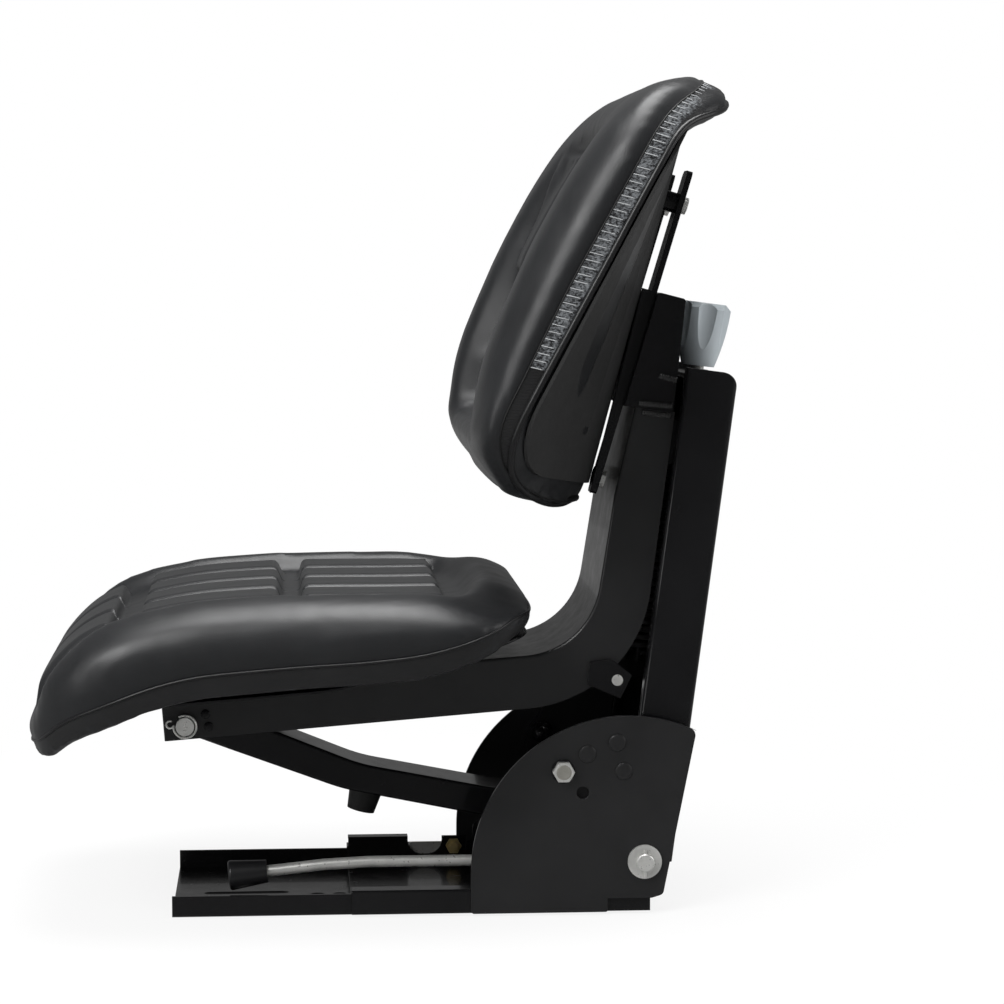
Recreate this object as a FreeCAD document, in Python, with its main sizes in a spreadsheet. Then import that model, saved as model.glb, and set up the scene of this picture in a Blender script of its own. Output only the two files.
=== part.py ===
import FreeCAD, Part
import math
import os
import re

import Sketcher

# Tractor suspension seat: slide rail, tilting column, sprung seat frame, upholstery.
# Millimetres. +X is the driver's left, +Y the rear, +Z up.
# The origin is on the underside of the rail, at its middle.

Vector = FreeCAD.Vector
doc = FreeCAD.newDocument("suspension_seat")

# Driving dimensions: alias, value
DIMENSIONS = [
    # lower rail
    ("rail_length", 420), ("rail_width", 208), ("rail_height", 18.9), ("rail_gauge", 3),
    ("rail_bend", 4), ("latch_row_front", 128), ("floor_slot_front", 26),
    ("base_bolt", 11), ("base_bolt_across", 150), ("base_bolt_along", 290),
    ("floor_slot_width", 10), ("floor_slot_length", 76), ("floor_slot_side", 16),
    ("latch_hole", 12), ("latch_hole_pitch", 20), ("latch_hole_side", 27), ("latch_holes", 6),
    # slide carriage
    ("carriage_length", 263), ("carriage_gauge", 3), ("fold_width", 20),
    ("carriage_top", 23), ("carriage_floor", 6), ("skirt_foot", 2), ("fold_overhang", 7),
    ("fold_bend", 2),
    ("shoe_length", 55), ("shoe_clearance", 0.1), ("shoe_inset", 12),
    # latch
    ("bracket_from_fold", 7), ("bracket_height", 24), ("bracket_length", 112), ("bracket_gauge", 3),
    ("bracket_inset", 1), ("flange_width", 10.2),
    ("notch_width", 32), ("notch_depth", 17), ("notch_from_front", 57),
    ("tooth_plate", 2.5), ("tooth_plate_overlap", 14), ("small_bolt_flats", 13),
    ("lever_rod", 10), ("lever_from_fold", 16), ("lever_height", 41.8), ("lever_pivot", 75),
    ("lever_bend", -58), ("lever_drop", 7.2), ("lever_reach", 75),
    ("lever_corner", 12), ("lever_bend_run", 20), ("ear_gauge", 4), ("ear_half", 11),
    ("grip_length", 34), ("grip_front", 27), ("grip_back", 20),
    # fan plates and tilt pin
    ("fan_gauge", 4), ("fan_radius", 138), ("fan_middle_back", 189.4), ("fan_middle_height", 38),
    ("fan_sweep", 64), ("fan_foot", 2), ("fan_step_back", 172), ("fan_step_height", 14),
    ("fan_tail_back", 221), ("pin_back", 204.4), ("pin_height", 46.7), ("pin_size", 16),
    ("pin_clearance", 0.1), ("washer_size", 30), ("washer_gauge", 3), ("split_wire", 3.2),
    ("bolt_size", 10), ("bolt_across_flats", 17), ("bolt_head", 6.4), ("bolt_washer", 21),
    ("outer_row", 108.5), ("inner_row", 82.5), ("bolt_angle", 41.6), ("second_angle", 27.8),
    ("third_angle", 13), ("spare_hole", 11),
    # column
    ("column_lean", 7.5), ("gusset_gap", 1.5), ("column_gauge", 3), ("column_lip", 15),
    ("column_front", -19.7), ("column_depth", 46), ("column_height", 435),
    ("column_corner", 14), ("column_foot", 22.5), ("cap_gauge", 4), ("cap_below", 6),
    ("gusset_gauge", 4.5), ("gusset_top", 124),
    # swing arm
    ("arm_pivot_front", 59), ("arm_pivot_up", 36.5), ("arm_pin", 14), ("front_pin_inset", 16.1),
    ("front_pin_up", 66.5), ("front_pin", 16), ("front_bush_clearance", 1.5), ("arm_width", 60),
    ("arm_gauge", 3), ("hub_wall", 4), ("stop_size", 30), ("stop_height", 19),
    ("stop_front", 246), ("side_play", 0.5),
    # seat frame
    ("frame_side_gap", 5), ("frame_gauge", 3), ("frame_front", 430.6), ("frame_foot", 50.7),
    ("frame_slope", 12.07), ("frame_depth", 47), ("frame_back", -22.7), ("frame_bend", 118),
    ("frame_top", 394), ("frame_neck", 35.7),
    ("roller_width", 12), ("roller_up", 368), ("roller_axle", 10),
    ("roller_clearance", 0.3), ("lug_gauge", 4), ("lug_height", 40),
    # spring and adjuster
    ("spring_front", 15.8), ("spring_size", 40), ("spring_wire", 5.2),
    ("spring_pitch", 7.2), ("spring_foot", 169), ("spring_turns", 31), ("anchor_front", 42),
    ("anchor_up", 153), ("anchor_bar", 10), ("spindle_size", 12), ("knob_height", 57),
    ("knob_top", 47), ("knob_waist", 41), ("knob_foot", 30), ("knob_edge", 5), ("knob_gap", 1),
    ("knob_flute", 26), ("knob_flute_depth", 4.5), ("tab_gauge", 4),
    # backrest
    ("back_lean", 14.4), ("back_foot_y", 156), ("back_foot_z", 370), ("back_width", 470),
    ("back_height", 360), ("back_corner", 85), ("back_recess", 20),
    ("back_recess_width", 290), ("back_roll", 22), ("back_rib", 9), ("back_rib_width", 272),
    ("panel_gauge", 3), ("panel_inset", 9), ("panel_foot", 8), ("panel_from_top", 22),
    ("panel_flat", 170), ("panel_bend", 150), ("panel_wrap_low", 90), ("panel_wrap_high", 9),
    ("strap_gauge", 5), ("strap_width", 30), ("strap_side", 60), ("strap_from_top", 64),
    ("strap_lean", 2.3), ("strap_standoff", 1), ("strap_spacer", 18), ("strap_flange", 12),
    ("strap_corner", 6), ("strap_bolt_low", 14), ("strap_bolt_high", 30),
    ("small_bolt_head", 5), ("post_top", 186), ("post_neck", 25), ("post_gauge", 3),
    # seat
    ("seat_width", 462), ("seat_corner", 95), ("seat_recess", 13), ("seat_recess_width", 330),
    ("seat_roll", 26), ("seat_rib", 9), ("seat_rib_width", 304), ("rib_groove", 7),
    ("pan_gauge", 2), ("pan_width", 400), ("seat_bolt_side", 60), ("seat_bolt_front", 24),
    ("seat_bolt_back", 128), ("seat_bolt", 8), ("seat_gap", 0.3), ("brace_gauge", 2.5),
    ("brace_front", 236), ("brace_back", 268), ("brace_inset", 15),
]

sheet = doc.addObject("Spreadsheet::Sheet", "Sizes")
for row, (alias, value) in enumerate(DIMENSIONS, start=1):
    sheet.set(f"A{row}", alias.replace("_", " "))
    sheet.set(f"B{row}", str(value))
    sheet.setAlias(f"B{row}", alias)
doc.recompute()
ALIASES = {alias for alias, value in DIMENSIONS}
PIECES = []

# Sizes that follow others: the column stands between the fan plates, the seat frame
# between the column's lips, and the straps end below the top of the back
FOLD_OUT = "(rail_width / 2 + fold_overhang)"
COLUMN_WIDTH = f"(2 * {FOLD_OUT} - 2 * gusset_gauge - 2 * gusset_gap)"
FRAME_WIDTH = f"({COLUMN_WIDTH} - 2 * column_lip - 2 * frame_side_gap)"
STRAP_LENGTH = "(back_height - strap_from_top)"

FRONT_PIN = "(frame_front - front_pin_inset)"

# What the free outlines grow by: each is drawn at the size that its scale divides by
BACK_SCALE = "back_height / 360"
SEAT_SCALE = "frame_front / 430.6"
ARM_SCALE = f"{FRONT_PIN} / 414.5"


def bound(text):
    """The expression with each alias named on its sheet."""
    return re.sub(r"[a-z_]+", lambda w: f"Sizes.{w[0]}" if w[0] in ALIASES else w[0], text)


def size(value):
    """A length or an angle as a number: an expression on the sheet, or a number as it is."""
    return float(sheet.evalExpression(value)) if isinstance(value, str) else float(value)


def drive(target, name, value):
    """Ties a property to the sheet, or sets it where it is already a number."""
    if isinstance(value, str):
        target.setExpression(name, bound(value))
    elif name.startswith("Constraints["):
        target.setDatum(int(name[12:-1]), value)
    else:
        setattr(target, name, value)


# Frames: the world, the leaning column about the tilt pin, and the back panel
COLUMN = ("pin_back", "pin_height", "column_lean")
BACK = ("back_foot_y", "back_foot_z", "back_lean")


def to_world(frame, across, up):
    """A point (rearward, up) of a leaning frame as world Y and Z."""
    y, z, lean = (size(v) for v in frame)
    turn = math.radians(lean)
    return (y + across * math.cos(turn) + up * math.sin(turn),
            z - across * math.sin(turn) + up * math.cos(turn))


def to_frame(frame, y, z):
    """World Y and Z as a point (rearward, up) of a leaning frame."""
    y0, z0, lean = (size(v) for v in frame)
    turn = math.radians(lean)
    return ((y - y0) * math.cos(turn) - (z - z0) * math.sin(turn),
            (y - y0) * math.sin(turn) + (z - z0) * math.cos(turn))


def place(piece, frame):
    """Stands a piece in a leaning frame, tied to the sheet."""
    if frame is None:
        return
    y, z, lean = frame
    piece.Placement = FreeCAD.Placement(
        Vector(0, size(y), size(z)), FreeCAD.Rotation(Vector(-1, 0, 0), size(lean)))
    for name, value in (("y", y), ("z", z)):
        if isinstance(value, str):
            drive(piece, f"Placement.Base.{name}", value)
    if size(lean) > 0:
        drive(piece, "Placement.Rotation.Angle", f"{lean} * 1 deg")


def new_body(name, frame=None):
    body = doc.addObject("PartDesign::Body", name)
    body.Label = name
    place(body, frame)
    PIECES.append(body)
    return body


def new_sketch(body, plane, offset=0):
    """A sketch on one of the body's own planes, moved along the plane's normal."""
    sketch = body.newObject("Sketcher::SketchObject", f"{body.Name}_outline")
    origin = [p for p in body.Origin.OriginFeatures if p.Role == plane][0]
    sketch.AttachmentSupport = [(origin, "")]
    sketch.MapMode = "FlatFace"
    if offset:
        sketch.AttachmentOffset = FreeCAD.Placement(Vector(0, 0, size(offset)), FreeCAD.Rotation())
    if isinstance(offset, str):
        drive(sketch, "AttachmentOffset.Base.z", offset)
    return sketch


def unit(a, b):
    length = math.hypot(b[0] - a[0], b[1] - a[1])
    return ((b[0] - a[0]) / length, (b[1] - a[1]) / length)


def draw(sketch, corners):
    """A closed outline of straight sides. A corner is (x, y) or (x, y, radius)."""
    points = [(size(c[0]), size(c[1]), size(c[2]) if len(c) > 2 else 0) for c in corners]
    count = len(points)
    ends = []
    for i, (x, y, radius) in enumerate(points):
        back, ahead = unit((x, y), points[i - 1]), unit((x, y), points[(i + 1) % count])
        if not radius:
            ends.append(((x, y), (x, y), None))
            continue
        half = math.acos(max(-1, min(1, back[0] * ahead[0] + back[1] * ahead[1]))) / 2
        run, reach = radius / math.tan(half), radius / math.sin(half)
        middle = unit((0, 0), (back[0] + ahead[0], back[1] + ahead[1]))
        ends.append((
            (x + back[0] * run, y + back[1] * run), (x + ahead[0] * run, y + ahead[1] * run),
            ((x + middle[0] * reach, y + middle[1] * reach), radius,
             back[0] * ahead[1] - back[1] * ahead[0] < 0)))
    sides = []
    for i in range(count):
        start, finish = ends[i][1], ends[(i + 1) % count][0]
        sides.append(sketch.addGeometry(Part.LineSegment(Vector(*start, 0), Vector(*finish, 0))))
    for i, corner in enumerate(corners):
        before, after = sides[i - 1], sides[i]
        if ends[i][2] is None:
            sketch.addConstraint(Sketcher.Constraint("Coincident", before, 2, after, 1))
            pin_point(sketch, after, 1, corner)
            continue
        (cx, cy), radius, left = ends[i][2]
        a0 = math.atan2(ends[i][0][1] - cy, ends[i][0][0] - cx)
        a1 = math.atan2(ends[i][1][1] - cy, ends[i][1][0] - cx)
        circle = Part.Circle(Vector(cx, cy, 0), Vector(0, 0, 1), radius)
        arc = sketch.addGeometry(
            Part.ArcOfCircle(circle, a0, a1) if left else Part.ArcOfCircle(circle, a1, a0))
        tip = sketch.addGeometry(Part.Point(Vector(points[i][0], points[i][1], 0)), True)
        pin_point(sketch, tip, 1, corner)
        sketch.addConstraint([
            Sketcher.Constraint("PointOnObject", tip, 1, before),
            Sketcher.Constraint("PointOnObject", tip, 1, after),
            Sketcher.Constraint("Tangent", before, 2, arc, 1 if left else 2),
            Sketcher.Constraint("Tangent", after, 1, arc, 2 if left else 1),
        ])
        number = sketch.addConstraint(Sketcher.Constraint("Radius", arc, radius))
        drive(sketch, f"Constraints[{number}]", corner[2])


def pin_point(sketch, geometry, end, point):
    """Holds one point of a sketch at (x, y)."""
    for kind, value in (("DistanceX", point[0]), ("DistanceY", point[1])):
        number = sketch.addConstraint(Sketcher.Constraint(kind, geometry, end, size(value)))
        drive(sketch, f"Constraints[{number}]", value)


def draw_circle(sketch, x, y, diameter):
    circle = Part.Circle(Vector(size(x), size(y), 0), Vector(0, 0, 1), size(diameter) / 2)
    ring = sketch.addGeometry(circle)
    pin_point(sketch, ring, 3, (x, y))
    number = sketch.addConstraint(Sketcher.Constraint("Diameter", ring, size(diameter)))
    drive(sketch, f"Constraints[{number}]", diameter)


def pad(body, sketch, length, middle=True):
    """Adds the sketch's outline, to both sides of its plane or to one."""
    feature = body.newObject("PartDesign::Pad", f"{body.Name}_pad")
    feature.Profile = sketch
    feature.Midplane = middle
    drive(feature, "Length", length)
    return feature


def cut(body, sketch, length):
    """Takes the sketch's outline out, to both sides of its plane."""
    feature = body.newObject("PartDesign::Pocket", f"{body.Name}_cut")
    feature.Profile = sketch
    feature.Midplane = True
    drive(feature, "Length", length)
    return feature


def round_edges(body, radius, wanted):
    """Rounds the edges whose middle point passes a test, given the shape they are on."""
    doc.recompute()
    base = body.Tip
    names = []
    for number, edge in enumerate(base.Shape.Edges, start=1):
        middle = edge.valueAt((edge.FirstParameter + edge.LastParameter) / 2)
        if wanted(middle, base.Shape):
            names.append(f"Edge{number}")
    feature = body.newObject("PartDesign::Fillet", f"{body.Name}_round")
    feature.Base = (base, names)
    drive(feature, "Radius", radius)
    return feature


def beside_web(half):
    """A test for the edges where a channel's web meets its sides."""
    def wanted(point, shape):
        on_side = abs(abs(point.x) - half) < 0.01
        across = Part.Vertex(0, point.y, point.z)
        return on_side and shape.distToShape(across)[0] < 0.01
    return wanted


def along_side(half, line, upright=False):
    """A test for the edges at a pad's two sides that follow a line of its profile."""
    def wanted(point, shape):
        place, level = (point.z, point.y) if upright else (point.y, point.z)
        return abs(abs(point.x) - half) < 0.01 and abs(level - level_at(line, place)) < 3
    return wanted


def loft(body, kind, sketches):
    """Joins closed outlines by straight lines, added to the body or taken from it."""
    feature = body.newObject(f"PartDesign::{kind}Loft", f"{body.Name}_loft")
    feature.Profile = sketches[0]
    feature.Sections = sketches[1:]
    feature.Ruled = True
    return feature


def trim(body, plane, corners):
    """Cuts away all of the body outside an outline, seen square to a plane."""
    sketch = new_sketch(body, plane)
    margin = 2 * max(abs(size(value)) for corner in corners for value in corner[:2])
    draw(sketch, [(-margin, -margin), (margin, -margin), (margin, margin), (-margin, margin)])
    draw(sketch, corners)
    cut(body, sketch, 2 * margin)


def offset(corners, amounts):
    """The outline with each side moved inward by its own amount; side i follows corner i."""
    points = [(size(c[0]), size(c[1])) for c in corners]
    count = len(points)
    area = sum(points[i - 1][0] * points[i][1] - points[i][0] * points[i - 1][1]
               for i in range(count))
    sense = 1 if area > 0 else -1
    lines = []
    for i in range(count):
        ux, uy = unit(points[i], points[(i + 1) % count])
        nx, ny = -uy * sense, ux * sense
        lines.append((points[i][0] + nx * amounts[i], points[i][1] + ny * amounts[i], ux, uy))
    moved = []
    for i, corner in enumerate(corners):
        x1, y1, ux, uy = lines[i - 1]
        x2, y2, vx, vy = lines[i]
        cross = ux * vy - uy * vx
        along = ((x2 - x1) * vy - (y2 - y1) * vx) / cross
        point = (x1 + ux * along, y1 + uy * along)
        if len(corner) > 2:
            inward = (amounts[i - 1] + amounts[i]) / 2
            point += (size(corner[2]) - inward * (1 if cross * sense > 0 else -1),)
        moved.append(point)
    return moved


def solid(name, shape, frame=None):
    """A piece whose shape is made from the sheet's values, placed after it is set."""
    piece = doc.addObject("Part::Feature", name)
    piece.Label = name
    piece.Shape = shape
    place(piece, frame)
    PIECES.append(piece)
    return piece


def rod(diameter, x0, x1, y, z):
    """A round bar along X."""
    return Part.makeCylinder(size(diameter) / 2, x1 - x0, Vector(x0, size(y), size(z)),
                             Vector(1, 0, 0))


def tube(outer, inner, x0, x1, y, z):
    return rod(outer, x0, x1, y, z).cut(rod(inner, x0 - 1, x1 + 1, y, z))


def hexagon_bar(across_flats, length, base, axis):
    """A six-sided bar from its base along an axis."""
    reach = size(across_flats) / math.sqrt(3)
    turned = FreeCAD.Rotation(Vector(0, 0, 1), axis)
    ring = []
    for n in range(7):
        angle = math.radians(60 * n + 30)
        ring.append(base + turned.multVec(
            Vector(reach * math.cos(angle), reach * math.sin(angle), 0)))
    return Part.Face(Part.makePolygon(ring)).extrude(axis * length)


def small_bolt(reach, seat, axis):
    """A bolt with its head against its seat and its shank along the axis."""
    head = hexagon_bar("small_bolt_flats", size("small_bolt_head"), seat, axis * -1)
    shank = Part.makeCylinder(size("seat_bolt") / 2, reach + 1, seat - axis, axis)
    return head.fuse(shank).removeSplitter()


def grown(points, scale):
    """The points of an outline times its scale."""
    times = size(scale)
    return [tuple(times * size(value) for value in point) for point in points]


def level_at(line, place):
    """Level of a line of points at a place along it."""
    for (a0, level0), (a1, level1) in zip(line, line[1:]):
        if place <= a1:
            break
    return level0 + (level1 - level0) * (place - a0) / (a1 - a0)


def add_ribs(body, floor, width, height, groups, upright=False):
    """Padded bars on the floor of a recess. A group is its start, its end and its lanes."""
    for start, end, lanes in groups:
        line = [(start, level_at(floor, start))]
        line += [point for point in floor if start < point[0] < end]
        line.append((end, level_at(floor, end)))
        top = [(a, level + height) for a, level in line]
        top[0] += (abs(height) * 0.8,)
        top[-1] += (abs(height) * 0.8,)
        outline = [(a, level - height / 3) for a, level in line] + top[::-1]
        if upright:
            outline = [(level, a, *radius) for a, level, *radius in outline]
        for lane in range(lanes):
            profile = new_sketch(
                body, "YZ_Plane", f"({lane} - {(lanes - 1) / 2}) * {width} / {lanes}")
            draw(profile, outline)
            pad(body, profile, f"{width} / {lanes} - rib_groove")


def both_sides(shape):
    """The shape and its mirror image across the seat's middle plane, as separate solids."""
    return Part.makeCompound([shape, shape.mirror(Vector(0, 0, 0), Vector(1, 0, 0))])


# Lower rail: a folded pan with slots in its floor
rail = new_body("lower_rail")
section = new_sketch(rail, "XZ_Plane")
half, gauge = "rail_width / 2", "rail_gauge"
draw(section, [
    (f"-{half}", "rail_height"), (f"-{half}", 0, "rail_bend"), (half, 0, "rail_bend"),
    (half, "rail_height"),
    (f"{half} - {gauge}", "rail_height"), (f"{half} - {gauge}", gauge),
    (f"{gauge} - {half}", gauge), (f"{gauge} - {half}", "rail_height")])
pad(rail, section, "rail_length")
floor = new_sketch(rail, "XY_Plane")
for side in ("", "-"):
    for end in ("", "-"):
        draw_circle(floor, f"{side}base_bolt_across / 2", f"{end}base_bolt_along / 2", "base_bolt")
for number in range(round(size("latch_holes"))):
    along = f"-rail_length / 2 + latch_row_front + {number} * latch_hole_pitch"
    draw_circle(floor, "latch_hole_side", along, "latch_hole")
slot_half = "floor_slot_width / 2"
slot_front = "-rail_length / 2 + floor_slot_front"
draw(floor, [
    (f"floor_slot_side - {slot_half}", slot_front, f"{slot_half} - 0.01"),
    (f"floor_slot_side + {slot_half}", slot_front, f"{slot_half} - 0.01"),
    (f"floor_slot_side + {slot_half}", f"{slot_front} + floor_slot_length", f"{slot_half} - 0.01"),
    (f"floor_slot_side - {slot_half}", f"{slot_front} + floor_slot_length", f"{slot_half} - 0.01")])
cut(rail, floor, "rail_gauge * 4")

# Slide carriage: folded over both walls of the rail, with a floor between them
carriage_front = size("rail_length / 2 - carriage_length")
fold_out = size(FOLD_OUT)
fold_in = fold_out - size("fold_width")
fold = size("carriage_gauge")
carriage = new_body("slide_carriage")
section = new_sketch(carriage, "XZ_Plane", "carriage_length / 2 - rail_length / 2")
right = [
    (fold_in, "carriage_floor + carriage_gauge"), (fold_in, "carriage_top", "fold_bend"),
    (fold_out, "carriage_top", "fold_bend"), (fold_out, "skirt_foot"), (fold_out - fold, "skirt_foot"),
    (fold_out - fold, "carriage_top - carriage_gauge"),
    (fold_in + fold, "carriage_top - carriage_gauge"), (fold_in + fold, "carriage_floor")]
left = [(-size(c[0]),) + c[1:] for c in reversed(right)]
draw(section, right + left)
pad(carriage, section, "carriage_length")
carriage_floor_top = size("carriage_floor + carriage_gauge")

# Slide shoes: plastic liners between the rail's walls and the carriage's folds
play = size("shoe_clearance")
wall_out, wall_in = size("rail_width / 2"), size("rail_width / 2 - rail_gauge")
shoe_roof = size("carriage_top - carriage_gauge")
shoes = []
for side in (1, -1):
    for start in (carriage_front + size("shoe_inset"),
                  size("rail_length / 2 - shoe_inset - shoe_length")):
        outline = [
            (fold_in + fold, size("carriage_floor")), (fold_in + fold, shoe_roof),
            (fold_out - fold, shoe_roof), (fold_out - fold, size("carriage_floor")),
            (wall_out + play, size("carriage_floor")),
            (wall_out + play, size("rail_height") + play),
            (wall_in - play, size("rail_height") + play), (wall_in - play, size("carriage_floor"))]
        ring = [Vector(side * x, start, z) for x, z in outline + outline[:1]]
        shoes.append(Part.Face(Part.makePolygon(ring)).extrude(Vector(0, size("shoe_length"), 0)))
solid("slide_shoes", Part.makeCompound(shoes))

# Latch bracket: a folded plate on the far side of the carriage floor, with a round-bottomed notch
bracket_side = fold_in - size("bracket_from_fold")
bracket_gauge = size("bracket_gauge")
bracket = new_body("latch_bracket")
side_view = new_sketch(bracket, "YZ_Plane", -bracket_side - bracket_gauge / 2)
bracket_foot = "carriage_floor + carriage_gauge"
bracket_top = f"{bracket_foot} + bracket_height"
notch_front = carriage_front + size("notch_from_front")
notch_back = notch_front + size("notch_width")
notch_floor = f"{bracket_top} - notch_depth"
bracket_front = carriage_front + size("bracket_inset")
bracket_back = carriage_front + size("bracket_length")
notch_round = size("notch_depth") * 0.8
draw(side_view, [
    (bracket_front, bracket_foot), (bracket_back, bracket_foot),
    (bracket_back, bracket_top), (notch_back, bracket_top),
    (notch_back, notch_floor, notch_round), (notch_front, notch_floor, notch_round),
    (notch_front, bracket_top), (bracket_front, bracket_top)])
pad(bracket, side_view, "bracket_gauge")
flange_middle = bracket_side + bracket_gauge - 0.1 + size("flange_width") / 2
flange = new_sketch(bracket, "YZ_Plane", -flange_middle)
draw(flange, [
    (bracket_front, f"{bracket_top} - bracket_gauge"),
    (notch_front, f"{bracket_top} - bracket_gauge"), (notch_front, bracket_top),
    (bracket_front, bracket_top)])
pad(bracket, flange, "flange_width")

# Latch plate: the zinc tooth plate that shows in the notch
plate_gauge = size("tooth_plate")
plate_length = notch_back - notch_front + size("tooth_plate_overlap")
latch_plate = Part.makeBox(
    plate_gauge, plate_length, size("bracket_height") - 2 * bracket_gauge,
    Vector(-bracket_side - bracket_gauge - plate_gauge, notch_front + 2, carriage_floor_top))
solid("latch_plate", latch_plate.makeFillet(2, [
    e for e in latch_plate.Edges
    if abs(e.BoundBox.XLength - plate_gauge) < 0.01 and e.BoundBox.ZMax > carriage_floor_top + 1]))

# Latch bolt: holds the bracket's rear end, with a nut on its inner side
bolt_y, bolt_z = notch_back + 11, size(bracket_top) - 9
nut_height = 6
latch_bolt = hexagon_bar("small_bolt_flats", nut_height,
                         Vector(-bracket_side, bolt_y, bolt_z), Vector(1, 0, 0))
latch_bolt = latch_bolt.fuse(rod("seat_bolt", nut_height - 1 - bracket_side,
                                 nut_height + 5 - bracket_side, bolt_y, bolt_z))
solid("latch_bolt", latch_bolt.removeSplitter())

# Latch lever: one bent rod, its grip in front, its cross bar turning in two ears
lever_z, lever_x = size("lever_height"), fold_in - size("lever_from_fold")
pivot_y = size("lever_pivot")
rod_size = size("lever_rod")
grip_back_y = size("lever_bend") - size("lever_reach") + 6
bend_y = size("lever_bend")
front_z = lever_z - size("lever_drop")
corner, bend_run = size("lever_corner"), size("lever_bend_run")
slope = unit((bend_y, lever_z), (grip_back_y, front_z))
spine_points = [
    Vector(lever_x, grip_back_y, front_z),
    Vector(lever_x, bend_y + slope[0] * bend_run, lever_z + slope[1] * bend_run),
    Vector(lever_x, bend_y + bend_run, lever_z),
    Vector(lever_x, pivot_y - corner, lever_z)]
turn_middle = Vector(lever_x - corner * (1 - math.sqrt(0.5)),
                     pivot_y - corner * (1 - math.sqrt(0.5)), lever_z)
far_end = rod_size - bracket_side
spine = Part.Wire([
    Part.LineSegment(spine_points[0], spine_points[1]).toShape(),
    Part.LineSegment(spine_points[1], spine_points[2]).toShape(),
    Part.LineSegment(spine_points[2], spine_points[3]).toShape(),
    Part.Arc(spine_points[3], turn_middle,
             Vector(lever_x - corner, pivot_y, lever_z)).toShape(),
    Part.LineSegment(Vector(lever_x - corner, pivot_y, lever_z),
                     Vector(far_end, pivot_y, lever_z)).toShape()])
ring = Part.Wire([Part.makeCircle(rod_size / 2, spine_points[0],
                                  spine_points[0] - spine_points[1])])
solid("latch_lever", spine.makePipeShell([ring], True, False, 1))

# Lever grip: a tapered moulded knob over the rod's front end
grip_length = size("grip_length")
grip_axis = Vector(0, slope[0], slope[1])
grip_base = spine_points[0]
grip = Part.makeCone(size("grip_back") / 2, size("grip_front") / 2, grip_length,
                     grip_base, grip_axis)
grip = grip.makeFillet(2.5, [e for e in grip.Edges if len(e.Vertexes) == 1
                             and e.BoundBox.YMin < grip_base.y - grip_length + 3
                             and e.BoundBox.YLength < 8])
solid("lever_grip", grip)

# Lever ears: two plates on the carriage floor that carry the cross bar
ear_hole = size("lever_rod") + 2 * size("pin_clearance")
ear_half, ear_gauge = size("ear_half"), size("ear_gauge")
ears = []
for x in (lever_x - corner - 2 * ear_gauge, far_end + 2):
    plate = Part.makeBox(ear_gauge, 2 * ear_half, lever_z - carriage_floor_top,
                         Vector(x, pivot_y - ear_half, carriage_floor_top))
    plate = plate.fuse(rod(2 * ear_half, x, x + ear_gauge, pivot_y, lever_z)).removeSplitter()
    ears.append(plate.cut(rod(ear_hole, x - 1, x + ear_gauge + 1, pivot_y, lever_z)))
solid("lever_ears", Part.makeCompound(ears))

# Fan plates: the fixed side plates that carry the tilt pin and the tilt bolts
fan_start = size("fan_middle_back - fan_radius")
sweep = math.radians(size("fan_sweep"))
fan_end = (size("fan_middle_back") + size("fan_radius") * math.cos(sweep),
           size("fan_middle_height") + size("fan_radius") * math.sin(sweep))
run = (fan_end[0] - fan_start) / math.sin(sweep)
fan_corner = (fan_start, fan_end[1] + run * math.cos(sweep), "fan_radius")
fan_outline = [
    (fan_start, "fan_foot", 3), fan_corner, fan_end + (7,), ("fan_tail_back", 17, 5),
    ("fan_tail_back - 10", "fan_step_height", 3), ("fan_step_back", "fan_step_height"),
    ("fan_step_back", "fan_foot", 2)]


def tilt_hole(radius, angle, extra=0):
    """A hole of the tilt rows: its distance from the pin, its angle ahead of upright."""
    turn = math.radians(size(angle) - extra)
    return (size("pin_back") - size(radius) * math.sin(turn),
            size("pin_height") + size(radius) * math.cos(turn))


fan_face = fold_out
fan_outer = fan_face + size("fan_gauge")
bolt_place = tilt_hole("outer_row", "bolt_angle")
open_holes = [
    tilt_hole("inner_row", "bolt_angle"), tilt_hole("outer_row", "second_angle"),
    tilt_hole("outer_row", "third_angle"), tilt_hole("inner_row", "third_angle")]
for side, name in ((1, "fan_plate_left"), (-1, "fan_plate_right")):
    fan = new_body(name)
    plate = new_sketch(fan, "YZ_Plane", side * (fan_face + size("fan_gauge") / 2))
    draw(plate, fan_outline)
    draw_circle(plate, "pin_back", "pin_height", "pin_size + 2 * pin_clearance")
    draw_circle(plate, bolt_place[0], bolt_place[1], "bolt_size + 2 * pin_clearance")
    for y, z in open_holes:
        draw_circle(plate, y, z, "spare_hole")
    pad(fan, plate, "fan_gauge")

# Tilt pin with a washer and a split pin at each end
washer_out = fan_outer + size("washer_gauge")
split_x = washer_out + size("split_wire") / 2 + 0.3
pin_end = split_x + size("split_wire") / 2 + 3
pin_y, pin_z, pin_r = size("pin_back"), size("pin_height"), size("pin_size") / 2
tilt_pin = rod("pin_size", -pin_end, pin_end, pin_y, pin_z)
tilt_pin = tilt_pin.makeChamfer(1, [e for e in tilt_pin.Edges if len(e.Vertexes) == 1
                                    and e.BoundBox.XLength < 0.1])
wire_r = size("split_wire") / 2
for side in (1, -1):
    tilt_pin = tilt_pin.cut(Part.makeCylinder(
        wire_r + 0.1, pin_r * 4, Vector(side * split_x, pin_y, pin_z - pin_r * 2)))
solid("tilt_pin", tilt_pin)
solid("tilt_washers", both_sides(tube(
    "washer_size", "pin_size + 2 * pin_clearance", fan_outer, washer_out, pin_y, pin_z)))
split = Part.makeCylinder(wire_r, pin_r * 2 + 9, Vector(split_x, pin_y, pin_z - pin_r - 6))
eye_r = 4
eye = Part.makeTorus(eye_r, wire_r, Vector(split_x, pin_y, pin_z + pin_r + 3 + eye_r - 0.6),
                     Vector(1, 0, 0))
solid("split_pins", both_sides(split.fuse(eye)))

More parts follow.
